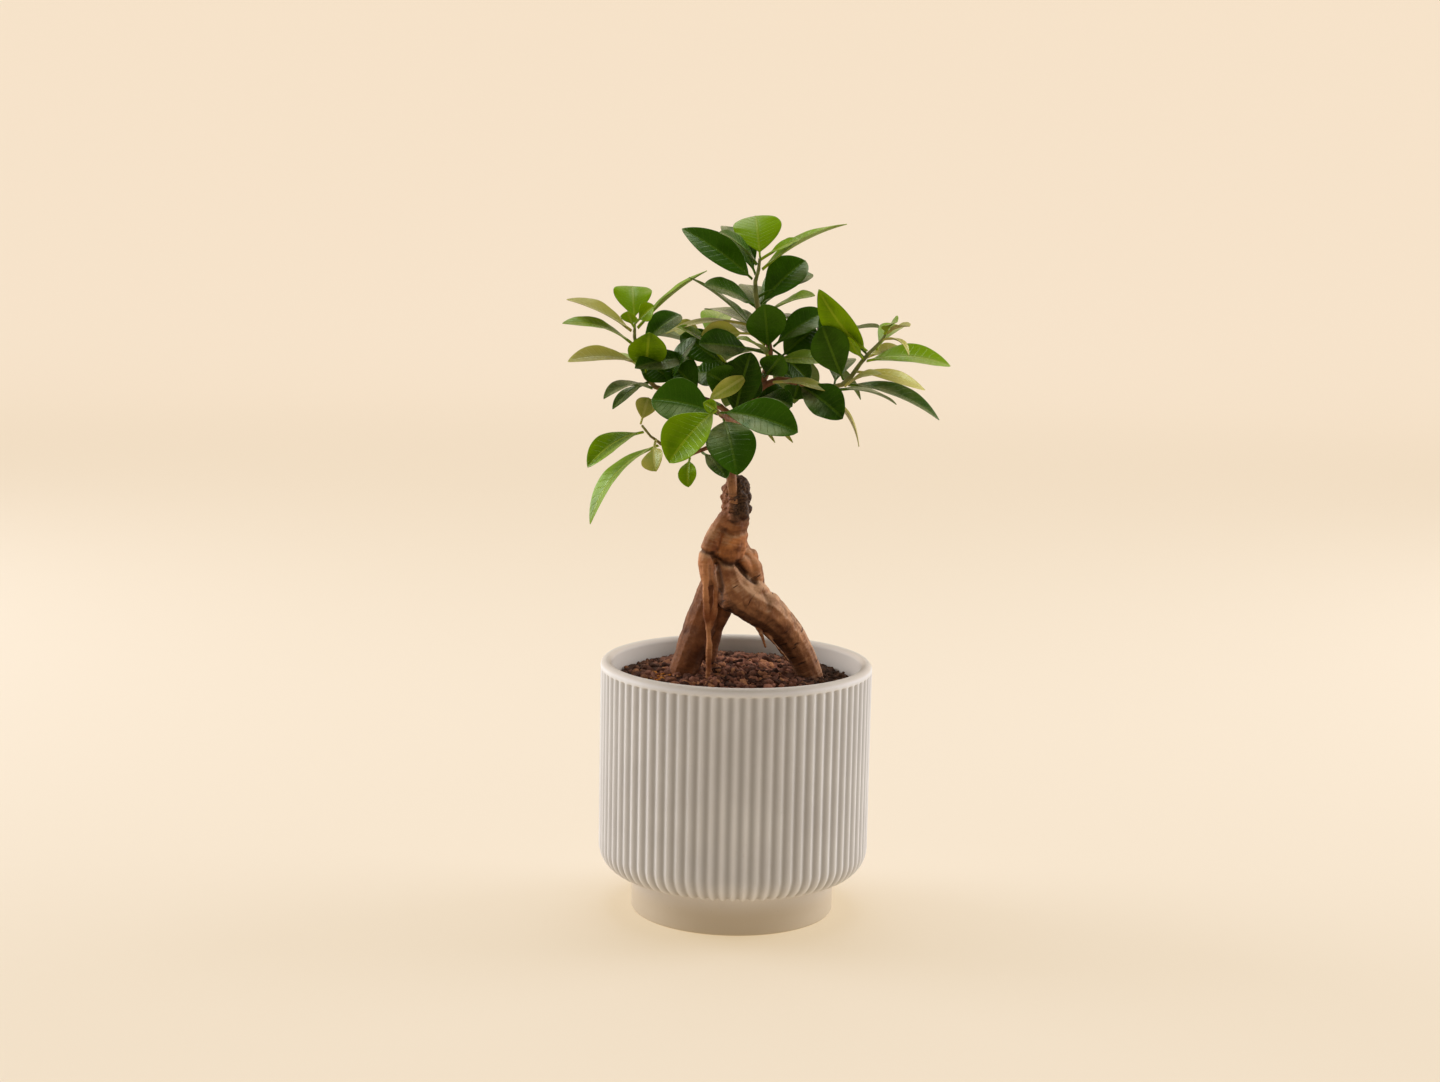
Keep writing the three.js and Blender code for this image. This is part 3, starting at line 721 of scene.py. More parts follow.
def sow(name, density, centre, reach, small, large, tilt, bend_by, seed, finish):
    """One sowing over the soil, sizes in millimetres and density in bits for each square centimetre."""
    bits = make(name, bark_litter, {
        "Density": density * 1e4, "Centre": tuple(v * MM for v in centre), "Reach": reach * MM,
        "Small": tuple(v * MM for v in small), "Large": tuple(v * MM for v in large),
        "Tilt": tilt, "Bend": bend_by * MM, "Seed": seed, "Finish": finish,
    }, soil.data.copy())
    return seat(bits, "potting_mix")


sow("soil_crumbs", 12.0, (0, 0, 0), 62.5, (1.0, 0.8, 0.6), (3.4, 2.6, 2.0), 0.9, 1.3, 3, soil_finish)
sow("bark_chips", 6.0, (2, -2, 0), 56, (3.0, 1.8, 1.2), (8.5, 5.2, 3.2), 0.6, 2.2, 11, soil_finish)
sow("ochre_bits", 13.0, (-46, -6, 0), 12, (1.4, 1.0, 0.6), (4.2, 2.8, 1.3), 0.7, 1.3, 21,
    fleck_mix("ochre_bark", "7a3a12", "c07a30"))
sow("moss_bits", 6.0, (-47, -18, 0), 11, (1.2, 0.9, 0.5), (3.2, 2.2, 1.1), 0.7, 1.1, 31,
    fleck_mix("dry_moss", "6b6a1e", "cfc468"))
print("soil pieces made")

# %% [markdown]
# ## Trunk and roots
# The wood is one grown lump, so it starts from the measured solid. A copy is merged, wrapped in an even
# skin of small faces and smoothed, which melts the joints between its rods as living bark does. The
# smoothing steps alternate in and out, because plain smoothing would thin the small roots away.

# %% Wood helpers
def skin_of(node, grain, lumps=()):
    """A measured solid with some lumps added, wrapped in faces of an even size in millimetres."""
    shape = bmesh.new()
    shape.from_mesh(frame["nodes"][node].data)
    bmesh.ops.remove_doubles(shape, verts=shape.verts, dist=1e-6)
    for x, y, z, radius in lumps:
        spot = Matrix.Translation((x * MM, y * MM, (z + SOIL_TOP) * MM))
        bmesh.ops.create_icosphere(shape, subdivisions=3, radius=radius * MM, matrix=spot)
    wrap = show(node + "_start", poured(shape, node + "_start"))
    cover = wrap.modifiers.new("skin", "REMESH")
    cover.mode = "VOXEL"
    cover.voxel_size = grain * MM
    graph = bpy.context.evaluated_depsgraph_get()
    skin = bpy.data.meshes.new_from_object(wrap.evaluated_get(graph))
    bpy.data.objects.remove(wrap)
    return skin


def points_of(mesh):
    """The mesh's points as a table of x, y, z."""
    flat = np.empty(len(mesh.vertices) * 3)
    mesh.vertices.foreach_get("co", flat)
    return flat.reshape(-1, 3)


def melt(mesh, rounds, inward=0.5, outward=-0.52):
    """Smooth in, then out again, so that the shape keeps its thickness."""
    ends = np.empty(len(mesh.edges) * 2, dtype=np.int64)
    mesh.edges.foreach_get("vertices", ends)
    one, two = ends[0::2], ends[1::2]
    spots = points_of(mesh)
    count = np.bincount(ends, minlength=len(spots)).reshape(-1, 1)
    for step in range(rounds * 2):
        total = np.empty_like(spots)
        for axis in range(3):
            total[:, axis] = np.bincount(one, spots[two, axis], len(spots))
            total[:, axis] += np.bincount(two, spots[one, axis], len(spots))
        spots = spots + (inward if step % 2 == 0 else outward) * (total / count - spots)
    mesh.vertices.foreach_set("co", spots.ravel())
    mesh.update()


def mark(mesh, name, values):
    """Store one number for each point."""
    layer = mesh.attributes.new(name, "FLOAT", "POINT")
    layer.data.foreach_set("value", np.ascontiguousarray(values, dtype=np.float32))


def carve(mesh, folds):
    """Press folds into the front of the wood and return how deep each point lies in one."""
    spots = points_of(mesh)
    flat = np.empty(len(spots) * 3)
    mesh.vertex_normals.foreach_get("vector", flat)
    normals = flat.reshape(-1, 3)
    shade = np.zeros(len(spots))
    for depth, width, back, line in folds:
        front = spots.copy()
        front[:, 1] = 0
        gap = along_limb(front, [(x, 0, z) for x, z in line])[0] / (width * MM)
        pull = np.exp(-gap ** 2) * (spots[:, 1] < back * MM)
        spots = spots - normals * (pull * depth * MM)[:, None]
        shade = np.maximum(shade, pull * min(1.0, depth))
    mesh.vertices.foreach_set("co", spots.ravel())
    mesh.update()
    return shade


def along_limb(spots, path):
    """How far each point lies from a limb's middle line, and how far along it."""
    line = np.array(path) * MM
    line[:, 2] += SOIL_TOP * MM
    best = np.full(len(spots), 1e9)
    place_along = np.zeros(len(spots))
    walked = 0.0
    for start, end in zip(line, line[1:]):
        step = end - start
        size = np.linalg.norm(step)
        share = np.clip((spots - start) @ step / size ** 2, 0, 1)
        gap = np.linalg.norm(spots - start - share[:, None] * step, axis=1)
        closer = gap < best
        best[closer] = gap[closer]
        place_along[closer] = walked + share[closer] * size
        walked += size
    return best, place_along


# %% [markdown]
# Each limb has its own bark. The numbers stored here say how close a point lies to the pinkish aerial
# root, how far along its limb it is, and where the right leg is. The middle lines are drawn in
# millimetres above the soil.

# %% Trunk marks
AERIAL_LINE = [(-6, -1.5, 90), (-11.8, -3.6, 78.7), (-16.6, -9, 65.6), (-15.4, -12.5, 52), (-13.5, -14, 38),
               (-14, -14, 23), (-14.4, -14, 2)]
LEFT_LEG_LINE = [(-5, 2, 66), (-12.8, 5, 48), (-18.9, 4, 30), (-25.8, 1, 11), (-28, 1, 1)]
RIGHT_LEG_LINE = [(-5.2, -4, 59), (4, -4, 45), (15.4, -3, 39), (28, 2, 24.5), (37, 5.5, 7.5), (39, 6.5, 0)]
STUMP_LINE = [(-6, 0, 62), (-5, 0, 71), (-2.4, 0, 83.5), (-2.2, 0, 96.5), (-2.6, 0, 104)]
LIMB_SHARPNESS = 900


def mark_trunk(mesh):
    """Store which limb a point belongs to and its place along it."""
    spots = points_of(mesh)
    lines = (AERIAL_LINE, LEFT_LEG_LINE, RIGHT_LEG_LINE, STUMP_LINE)
    reach = (1.0, 2.6, 2.6, 2.4)
    found = [along_limb(spots, line) for line in lines]
    scaled = np.stack([gap / share for (gap, _), share in zip(found, reach)])
    owner = scaled.argmin(axis=0)
    rank = np.exp(-scaled * LIMB_SHARPNESS)
    rank /= rank.sum(axis=0)
    mark(mesh, "aerial", rank[0])
    mark(mesh, "right_leg", rank[2])
    mark(mesh, "along", np.choose(owner, [place for _, place in found]))


# %% [markdown]
# Where old roots press together, the wood swells and folds over. A few round lumps are melted in with
# the measured solid: they fill the shoulder and the thigh and rough up the cut top. A run is a row of
# such balls between two ends. The folds are lines drawn on the front, each with its depth, its width and
# how far back it reaches.

# %% Lumps and folds
WOOD_LUMPS = [
    (8.5, -2.5, 47.5, 8.2), (2, -3, 51, 8), (-3, -3, 45.5, 7.4), (3.5, 1.5, 62, 5), (4.5, 2, 57, 5.5),
    (6, 3, 67, 4.4), (-14.5, -5.5, 69, 5.6), (-2.8, -4.6, 88, 3.6), (-3.4, -5.4, 93, 3.1),
    (-3.2, -5.2, 98, 2.6), (-5.6, -4.6, 101, 2), (-0.2, -4.4, 101, 2.2), (4.2, -1, 98.5, 1.9),
    (4.7, -0.5, 92.6, 1.7), (-8.3, -1, 97.5, 1.6), (-0.5, 0.5, 104.6, 2.4), (2.6, 0.5, 105, 1.8),
    (-6, 1, 105, 1.6), (3.6, -1.5, 87, 1.6), (-7.6, -2, 88.5, 1.5), (1.6, -4.2, 90, 3.4),
    (1.2, -4.4, 94, 3), (1, -4.2, 98, 2.6),
]
BALLS_PER_RUN = 14
WOOD_RUNS = [
    ((-1.2, 0.4, 85, 6.4), (-1.2, 0.4, 103, 6.2)),
    ((-6.4, -1.2, 87, 3.2), (-6, -1.2, 102, 2.9)),
    ((2, -1, 64, 4.8), (10, 1.5, 53, 3.8)),
    ((4, 1, 68, 3.6), (7.6, 1, 61, 4.6)),
    ((7.6, 1, 61, 4.6), (9.2, 0.2, 55, 4.6)),
    ((-6.8, 4, 38, 4), (-10, 4, 30, 3.5)),
    ((-10, 4, 30, 3.5), (-14, 3, 12, 2.8)),
]
for first, last in WOOD_RUNS:
    for share in np.linspace(0, 1, BALLS_PER_RUN):
        WOOD_LUMPS.append(tuple((1 - share) * np.array(first) + share * np.array(last)))
WOOD_FOLDS = [
    (1.7, 1.2, -1, [(-13, 69.5), (-11.5, 67), (-8.6, 65.3), (-4, 64.4), (-1, 64.7), (0, 63.5)]),
    (1.2, 1.1, 2, [(-0.3, 63.8), (2.5, 60), (4.6, 57.4), (7, 56), (8.6, 55.3)]),
    (0.8, 1.3, -5, [(-11.5, 67), (-9.6, 60), (-8.4, 52), (-8.9, 43)]),
    (1.0, 1.0, -3, [(-20, 71.6), (-16.8, 71), (-13, 69.5)]),
    (0.6, 1.3, 2, [(-9.8, 83), (-6, 80.4), (-3.8, 79.6), (0, 79.8), (4.5, 80.5)]),
    (0.5, 0.8, -4, [(-14.5, 64), (-14, 58), (-13.8, 52)]),
    (0.4, 0.9, 0, [(13, 50), (15.5, 46), (16, 42)]),
    (0.4, 0.8, 0, [(22, 45), (24.5, 41.5), (25, 38)]),
    (0.4, 0.8, 0, [(28.5, 38), (30, 34.5), (30, 31)]),
]

# %% [markdown]
# The relief is another small tree: it pushes each point along its normal by soft lumps, by fine rings
# across the limb, and, near the cut top, by the rough old wood. Sculpting could do the same, but a tree
# can be turned up and down with one number.

# %% Bark relief recipe
def relief_recipe():
    """Push the skin in and out along its normal."""
    given = recipe("bark_relief", ["Lumps", "Rings", "Grain", "Rough Top", "Top From", "Top Full"])
    spot = put("GeometryNodeInputPosition")
    x, y, z = apart(spot)
    lumps = noise(spot, 85.0, 2.0, 0.5) - 0.5
    rings = noise(together(measured("along") * 900.0, x * 90.0, y * 90.0), 1.0, 2.0, 0.5) - 0.5
    grain = noise(spot, 620.0, 3.0, 0.6) - 0.5
    old = noise(spot, 260.0, 4.0, 0.7) - 0.5
    top = ramp(z, given["Top From"], given["Top Full"])
    total = lumps * given["Lumps"]
    total = times_plus(rings, given["Rings"], total)
    total = times_plus(grain, given["Grain"], total)
    total = times_plus(old * top, given["Rough Top"], total)
    push = arrow("SCALE", put("GeometryNodeInputNormal"), scale=total)
    return close_recipe(moved(given["Geometry"], push), given["Finish"])


bark_relief = relief_recipe()


# %% [markdown]
# The bark changes from limb to limb. The cut top is dark and weathered on its right side and brown on
# its left. The belly below it is orange tan, the aerial root is a pinkish tan and the right leg is light
# brown. Painted light makes the right leg and the upper wood paler where they face up, and painted shade
# makes the left leg dark. Short dark cracks, the lenticels, cross the right leg. Undersides and folds are
# painted darker, as shade, and the wood is darker just above the soil.

# %% Trunk finish
def trunk_bark():
    """Ficus bark that follows the limbs."""
    material, shader = new_finish("ficus_bark", Specular_IOR_Level=0.2)
    here = place()
    x, y, z = apart(here)
    along = stored("along")
    clouds = noise(here, 95.0, 4.0, 0.6)
    grain = noise(here, 900.0, 4.0, 0.65)
    streaks = noise(stretched(here, 420.0, 420.0, 70.0), 1.0, 3.0, 0.6)
    facing = facing_up()
    mottle = ramp(clouds, 0.3, 0.7)
    legs = blend(mottle, "7c4a2a", "b27a50")
    legs = blend(ramp(streaks, 0.45, 0.8, 0.0, 0.5), legs, "4a2c1a")
    # Painted shade: the left leg is drawn darker, as the shade it stands in.
    left_leg_shade = blend(mottle, "45200d", "78421d")
    legs = blend(ramp(stored("right_leg"), 0.6, 0.3, 0.0, 0.75), legs, left_leg_shade)
    belly = blend(ramp(clouds, 0.3, 0.72), "5e2d0e", "c27c46")
    belly = blend(ramp(streaks, 0.5, 0.8, 0.0, 0.5), belly, "4a2510")
    tone = blend(ramp(z, 0.176, 0.186), legs, belly)
    aerial = blend(mottle, "7e441e", "c28456")
    aerial = blend(ramp(streaks, 0.5, 0.8, 0.0, 0.4), aerial, "6a3418")
    tone = blend(ramp(stored("aerial"), 0.35, 0.75), tone, aerial)
    # Painted light: where the right leg and the upper wood face up, they are drawn paler.
    top_light_share = calc("MAXIMUM", stored("right_leg"), ramp(z, 0.17, 0.19, 0.0, 0.6))
    top_light_share = ramp(top_light_share, 0.0, 1.0, 0.1, 0.8) * ramp(clouds, 0.2, 0.6, 0.4, 1.0)
    painted_top_light = ramp(facing, 0.05, 0.7) * top_light_share
    tone = blend(painted_top_light, tone, "d6a882")
    old = blend(ramp(grain, 0.35, 0.7), "2c1a10", "644832")
    graft = blend(mottle, "6e3f26", "a06c4c")
    old = blend(ramp(times_plus(clouds, 0.006, x), 0.0015, -0.003), old, graft)
    tone = blend(ramp(times_plus(clouds, 0.016, z), 0.205, 0.217), tone, old)
    dash = together(along * 620.0, x * 110.0, y * 110.0)
    cracks = ramp(noise(dash, 1.0, 1.0, 0.4), 0.66, 0.72)
    cracks = cracks * ramp(stored("right_leg"), 0.4, 0.8)
    tone = blend(cracks * 0.8, tone, "2c1a10")
    # Painted shade: the folds are drawn darker.
    tone = blend(stored("fold") * 0.8, tone, "2b170c")
    # Painted shade: faces that look down are drawn darker.
    under = ramp(facing, -0.75, 0.15, 0.82, 0.0)
    tone = blend(under, tone, "27130a")
    # The wood is drawn darker just above the soil.
    near_soil = ramp(times_plus(clouds, 0.012, z), 0.128, 0.118, 0.0, 0.55)
    tone = blend(near_soil, tone, "3a2418")
    height = times_plus(streaks, 0.8, grain) - cracks * 0.9
    rough = ramp(grain, 0.25, 0.75, 0.5, 0.78)
    return close_finish(material, shader, tone, rough, height, 0.0006, 0.7)


trunk_skin = skin_of("trunk", 0.45, WOOD_LUMPS)
melt(trunk_skin, 22)
fold_depth = carve(trunk_skin, WOOD_FOLDS)
melt(trunk_skin, 2)
# The fold depth is kept for the finish, which paints shade in the folds.
mark(trunk_skin, "fold", fold_depth)
mark_trunk(trunk_skin)
trunk = make("ficus_trunk", bark_relief, {
    "Lumps": 2.2 * MM, "Rings": 0.4 * MM, "Grain": 0.25 * MM, "Rough Top": 3.4 * MM,
    "Top From": 0.2, "Top Full": 0.212, "Finish": trunk_bark(),
}, trunk_skin)
seat(trunk, "trunk_bark", "trunk")
print("trunk faces:", len(trunk.data.polygons))

# %% [markdown]
# ## Branches
# The grafted shoot and its side shoots are thin, so their skin is finer and their relief lower. Young
# ficus bark is light brown at the foot of the shoot and turns green towards the tips.

# %% Branches
def branch_bark():
    """Light brown young bark that greens away from the trunk."""
    material, shader = new_finish("young_bark", Specular_IOR_Level=0.25)
    here = place()
    z = apart(here)[2]
    clouds = noise(here, 160.0, 3.0, 0.6)
    grain = noise(here, 1400.0, 3.0, 0.6)
    rings = noise(stretched(here, 200.0, 200.0, 900.0), 1.0, 2.0, 0.5)
    mottle = ramp(clouds, 0.3, 0.7)
    brown = blend(mottle, "63391f", "97663f")
    green = blend(mottle, "5c6a2a", "86904a")
    far = times_plus(clouds, 0.02, from_axis(here))
    high = times_plus(clouds, 0.02, z)
    tips = calc("MAXIMUM", ramp(far, 0.04, 0.07), ramp(high, 0.305, 0.335))
    tone = blend(tips * 0.85, brown, green)
    tone = blend(ramp(rings, 0.55, 0.75, 0.0, 0.4), tone, "3f2b1c")
    rough = ramp(grain, 0.25, 0.75, 0.48, 0.72)
    return close_finish(material, shader, tone, rough, grain + rings, 0.0003, 0.6)


branch_skin = skin_of("branches", 0.38)
melt(branch_skin, 8)
mark(branch_skin, "along", points_of(branch_skin)[:, 2])
branches = make("ficus_branches", bark_relief, {
    "Lumps": 0.5 * MM, "Rings": 0.25 * MM, "Grain": 0.12 * MM, "Rough Top": 0.0,
    "Top From": 1.0, "Top Full": 2.0, "Finish": branch_bark(),
}, branch_skin)
seat(branches, "branch_bark", "branches")
print("branch faces:", len(branches.data.polygons))


# %% [markdown]
# ## Leaf recipe
# A ficus leaf is a thin blade on a short stalk: blunt, folded a little along its midrib, arched along
# its length and slightly wavy at the edge. The blade follows a rule, so one tree makes them all. It
# starts from a closed tube and presses it flat, which gives two faces and a rounded edge for free. A
# plane with a Solidify modifier would leave a sharp square rim.

# %% Leaf recipe
LEAF_SIDES = 28
LEAF_ROWS = 44
STALK_LENGTH = 3.0


def leaf_recipe():
    """A leaf lying along X, its width along Y and its upper face towards Z."""
    given = recipe("ficus_leaf", ["Length", "Stalk", "Width", "Arch", "Fold", "Fullness", "Lean", "Wave",
                                  "Twist", "Seed", "Tint"])
    shaped = put("GeometryNodeMeshCylinder", {
        "Vertices": LEAF_SIDES, "Side Segments": LEAF_ROWS, "Radius": 1.0, "Depth": 1.0,
    }, take="Mesh", fill_type="TRIANGLE_FAN")
    across, face, z = apart(put("GeometryNodeInputPosition"))
    share = z + 0.5
    stalk = given["Stalk"] / given["Length"]
    blade = (share - stalk) / (1.0 - stalk)
    blade = calc("MINIMUM", calc("MAXIMUM", blade, 0.0), 1.0)
    swell = calc("SINE", blade ** given["Lean"] * math.pi)
    swell = calc("MAXIMUM", swell, 0.0) ** given["Fullness"]
    half = swell * given["Width"] * 0.5
    stem = ramp(blade, 0.0, 1.0, 0.00055, 0.00018)
    half = calc("SQRT", half * half + stem * stem)
    ripple_at = together(share * 3.2, calc("SIGN", across) * 5.0, given["Seed"])
    ripple = noise(ripple_at, 1.0, 1.0, 0.5) - 0.5
    reach = across * half
    thick = ramp(blade, 0.0, 0.16, 0.0006, 0.00024)
    rib = calc("EXPONENT", (reach / 0.0009) ** 2.0 * -1.0)
    rib = rib * ramp(blade, 0.1, 1.0, 0.00042, 0.00006)
    rib = rib * calc("LESS_THAN", face, 0.0)
    body = (thick + rib) * face
    soft = calc("SQRT", reach * reach + 0.0000012)
    fold = (soft - 0.0011) * given["Fold"]
    arch = share * (1.0 - share) * 4.0
    lift = times_plus(arch, given["Arch"], fold)
    edge = across * across * (ripple * given["Wave"])
    lift = lift + edge * swell
    turn = given["Twist"] * (share - 0.2)
    y = reach * calc("COSINE", turn)
    lean = reach * calc("SINE", turn)
    height = lift + lean + body
    laid = together(share * given["Length"], y, height)
    stores = {"across": across, "along": blade, "face": face, "half": half, "tint": given["Tint"]}
    for name, value in stores.items():
        shaped = keep(shaped, "leaf_" + name, value)
    shaped = put("GeometryNodeSetPosition", {"Geometry": shaped, "Position": laid})
    return close_recipe(shaped, given["Finish"])


ficus_leaf = leaf_recipe()


# %% [markdown]
# ## Leaf finishes
# The upper face is waxy, with a pale midrib, faint side veins and a painted pale sheen where it faces up.
# The underside is paler and duller, and the thin edge lets light through, so it is drawn a little lighter.
# The gloss is tinted green, which keeps the crown from turning grey under pale lamps. One function
# serves three ages: dark mature leaves, lime fresh ones and pale young ones.

# %% Leaf finishes
VEIN_PAIRS = 11.0


def leaf_finish(name, dark, light, vein, back):
    """Waxy leaf skin of one age."""
    material, shader = new_finish(name, Specular_IOR_Level=0.26, Specular_Tint=(0.5, 0.7, 0.16, 1))
    here = place()
    along = stored("leaf_along")
    across = calc("ABSOLUTE", stored("leaf_across"))
    face = stored("leaf_face")
    tint = stored("leaf_tint")
    aside = across * stored("leaf_half")
    clouds = noise(here, 110.0, 3.0, 0.55)
    grain = noise(here, 1800.0, 2.0, 0.6)
    midrib = ramp(aside, 0.0004, 0.0009, 1.0, 0.0) * ramp(along, 0.75, 1.0, 1.0, 0.3)
    rise = times_plus(across, -1.5, along * VEIN_PAIRS)
    phase = calc("ABSOLUTE", calc("FRACT", rise) - 0.5)
    veins = ramp(phase, 0.0, 0.13, 1.0, 0.0) * ramp(across, 0.92, 0.75)
    # The tint holds each leaf's random tone and the painted shade deep in the crown.
    mix = clouds * 0.7 + times_plus(tint, 0.9, -0.12)
    mix = mix + ramp(across, 0.3, 1.0, 0.0, 0.16)
    top = blend(ramp(mix, 0.2, 0.95), dark, light)
    top = blend(veins * 0.12, top, vein)
    top = blend(midrib * 0.5, top, vein)
    # Painted sheen: the parts of the upper face that look up are drawn pale beige.
    painted_sheen = ramp(facing_up(), 0.6, 0.97, 0.0, 0.4) * ramp(clouds, 0.25, 0.6)
    top = blend(painted_sheen, top, "a39a6c")
    under = blend(midrib * 0.7, back, vein)
    tone = blend(ramp(face, -0.15, 0.15), under, top)
    rough = ramp(grain, 0.2, 0.8, 0.2, 0.32) + ramp(face, -0.2, 0.2, 0.28, 0.0)
    height = times_plus(grain, 0.15, veins * -0.5 + midrib * -1.0)
    return close_finish(material, shader, tone, rough, height, 0.00022, 0.8)


LEAF_FINISHES = {
    "leaf_mature": leaf_finish("waxy_dark_leaf", "0a1e01", "345806", "547018", "526424"),
    "leaf_fresh": leaf_finish("waxy_lime_leaf", "244600", "789a02", "98aa26", "788a24"),
    "leaf_young": leaf_finish("soft_young_leaf", "728418", "b3a94e", "bdb562", "958c54"),
}


# %% [markdown]
# ## Placing the leaves
# Each measured leaf is a plain folded slab. Its two ends give the leaf's length and direction, its faces
# give the way it looks, and a least-squares fit gives its arch. The finished leaf is built flat with
# those sizes and then carried into place, so it grows from exactly the same spot on its stem.

# %% Reading the measured leaves
branch_spots = points_of(frame["nodes"]["branches"].data)


def nearest(spot, cloud):
    """Distance from a spot to the closest of many points."""
    return np.linalg.norm(cloud - spot, axis=1).min()


def squared(up, direction):
    """The way up, made square to the direction, and the side that goes with them."""
    up = up - direction * (up @ direction)
    up = up / np.linalg.norm(up)
    return up, np.cross(up, direction)


def read_leaf(node):
    """Foot, direction, side, up, length, width and arch of a measured leaf."""
    mesh = frame["nodes"][node].data
    spots = np.unique(points_of(mesh).round(7), axis=0)
    centre = spots.mean(axis=0)
    direction = np.linalg.svd(spots - centre)[2][0]
    order = np.argsort((spots - centre) @ direction)
    ends = [spots[order[:6]].mean(axis=0), spots[order[-6:]].mean(axis=0)]
    ends.sort(key=lambda spot: nearest(spot, branch_spots))
    foot, tip = ends
    length = np.linalg.norm(tip - foot)
    direction = (tip - foot) / length
    tilt = np.zeros((3, 3))
    for face in mesh.polygons:
        normal = np.array(face.normal)
        tilt += face.area * np.outer(normal, normal)
    up, side = squared(np.linalg.eigh(tilt)[1][:, -1], direction)
    share = (spots - foot) @ direction / length
    reach = (spots - foot) @ side
    table = np.stack([np.ones(len(spots)), 4 * share * (1 - share), np.abs(reach)], axis=1)
    fit = np.linalg.lstsq(table, (spots - foot) @ up, rcond=None)[0]
    if fit[2] < 0:
        up, side, fit = -up, -side, -fit
    return foot, direction, side, up, length, 2 * np.abs(reach).max(), fit[1]


# %% [markdown]
# Wide leaves are rounder at the tip and narrow ones more pointed, as on the real plant. Small random
# amounts of wave, twist and tint keep neighbours from looking stamped. A leaf far from the heart of the
# crown, or high up in it, is lighter, and a leaf deep inside is darker, which is painted shade. The random
# numbers come from one fixed seed, so the plant is the same every time. A leaf that would stand past the
# measured box is moved back inside it.

# %% Leaves
chance = random.Random(42)
CROWN_HEART = np.array([0.002, 0.012, 0.282])
CROWN_REACH = 0.085
CROWN_FOOT = 0.24
CROWN_HEIGHT = 0.1
PLUMP_LEAF = 0.45


def grow_leaf(name, slot, spot, direction, side, up, length, width, arch, stalk=STALK_LENGTH * MM):
    """Build one leaf flat and carry it to its place."""
    plump = width / (length - stalk)
    middle = np.array(spot) + np.array(direction) * length / 2
    # Painted shade: leaves deep in the crown get a low tint and are drawn darker.
    openness = min(1.0, np.linalg.norm(middle - CROWN_HEART) / CROWN_REACH)
    openness = 0.5 * openness + 0.5 * min(1.0, max(0.0, (middle[2] - CROWN_FOOT) / CROWN_HEIGHT))
    leaf = make(name, ficus_leaf, {
        "Length": float(length), "Stalk": float(stalk), "Width": float(width), "Arch": float(arch),
        "Fold": chance.uniform(0.2, 0.42),
        "Fullness": 0.64 if plump > 0.5 else 0.72,
        "Lean": chance.uniform(1.15, 1.5) if plump > PLUMP_LEAF else chance.uniform(0.9, 1.2),
        "Wave": chance.uniform(0.08, 0.22) * float(width),
        "Twist": chance.uniform(-0.35, 0.35),
        "Seed": chance.uniform(0, 50),
        "Tint": 0.35 * chance.random() + 0.65 * openness,
        "Finish": LEAF_FINISHES[slot],
    })
    frame_of_leaf = Matrix.Identity(4)
    for column, axis in enumerate((direction, side, up, spot)):
        for row in range(3):
            frame_of_leaf[row][column] = float(axis[row])
    leaf.data.transform(frame_of_leaf)
    over = points_of(leaf.data).max(axis=0) - np.array(measured_box[1])
    under = np.array(measured_box[0]) - points_of(leaf.data).min(axis=0)
    shift = np.maximum(under, 0) - np.maximum(over, 0)
    leaf.data.transform(Matrix.Translation(Vector(shift * 1.05)))
    return leaf


leaf_nodes = sorted(name for name in frame["nodes"] if name.startswith("leaf_"))
for node in leaf_nodes:
    leaf = grow_leaf("grown_" + node, slot_of[node], *read_leaf(node))
    seat(leaf, slot_of[node], node)
print("leaves:", len(leaf_nodes))

# %% [markdown]
# ## Small leaves between the measured ones
# The crown is fuller than its solids: small young leaves, buds and shaded leaves fill it. Each line
# gives the middle of a leaf's foot, its tip, the way it faces, its width, its arch and its age, in
# millimetres above the soil. The stalk is then led back to the closest point on a branch, so that no
# leaf hangs in the air.

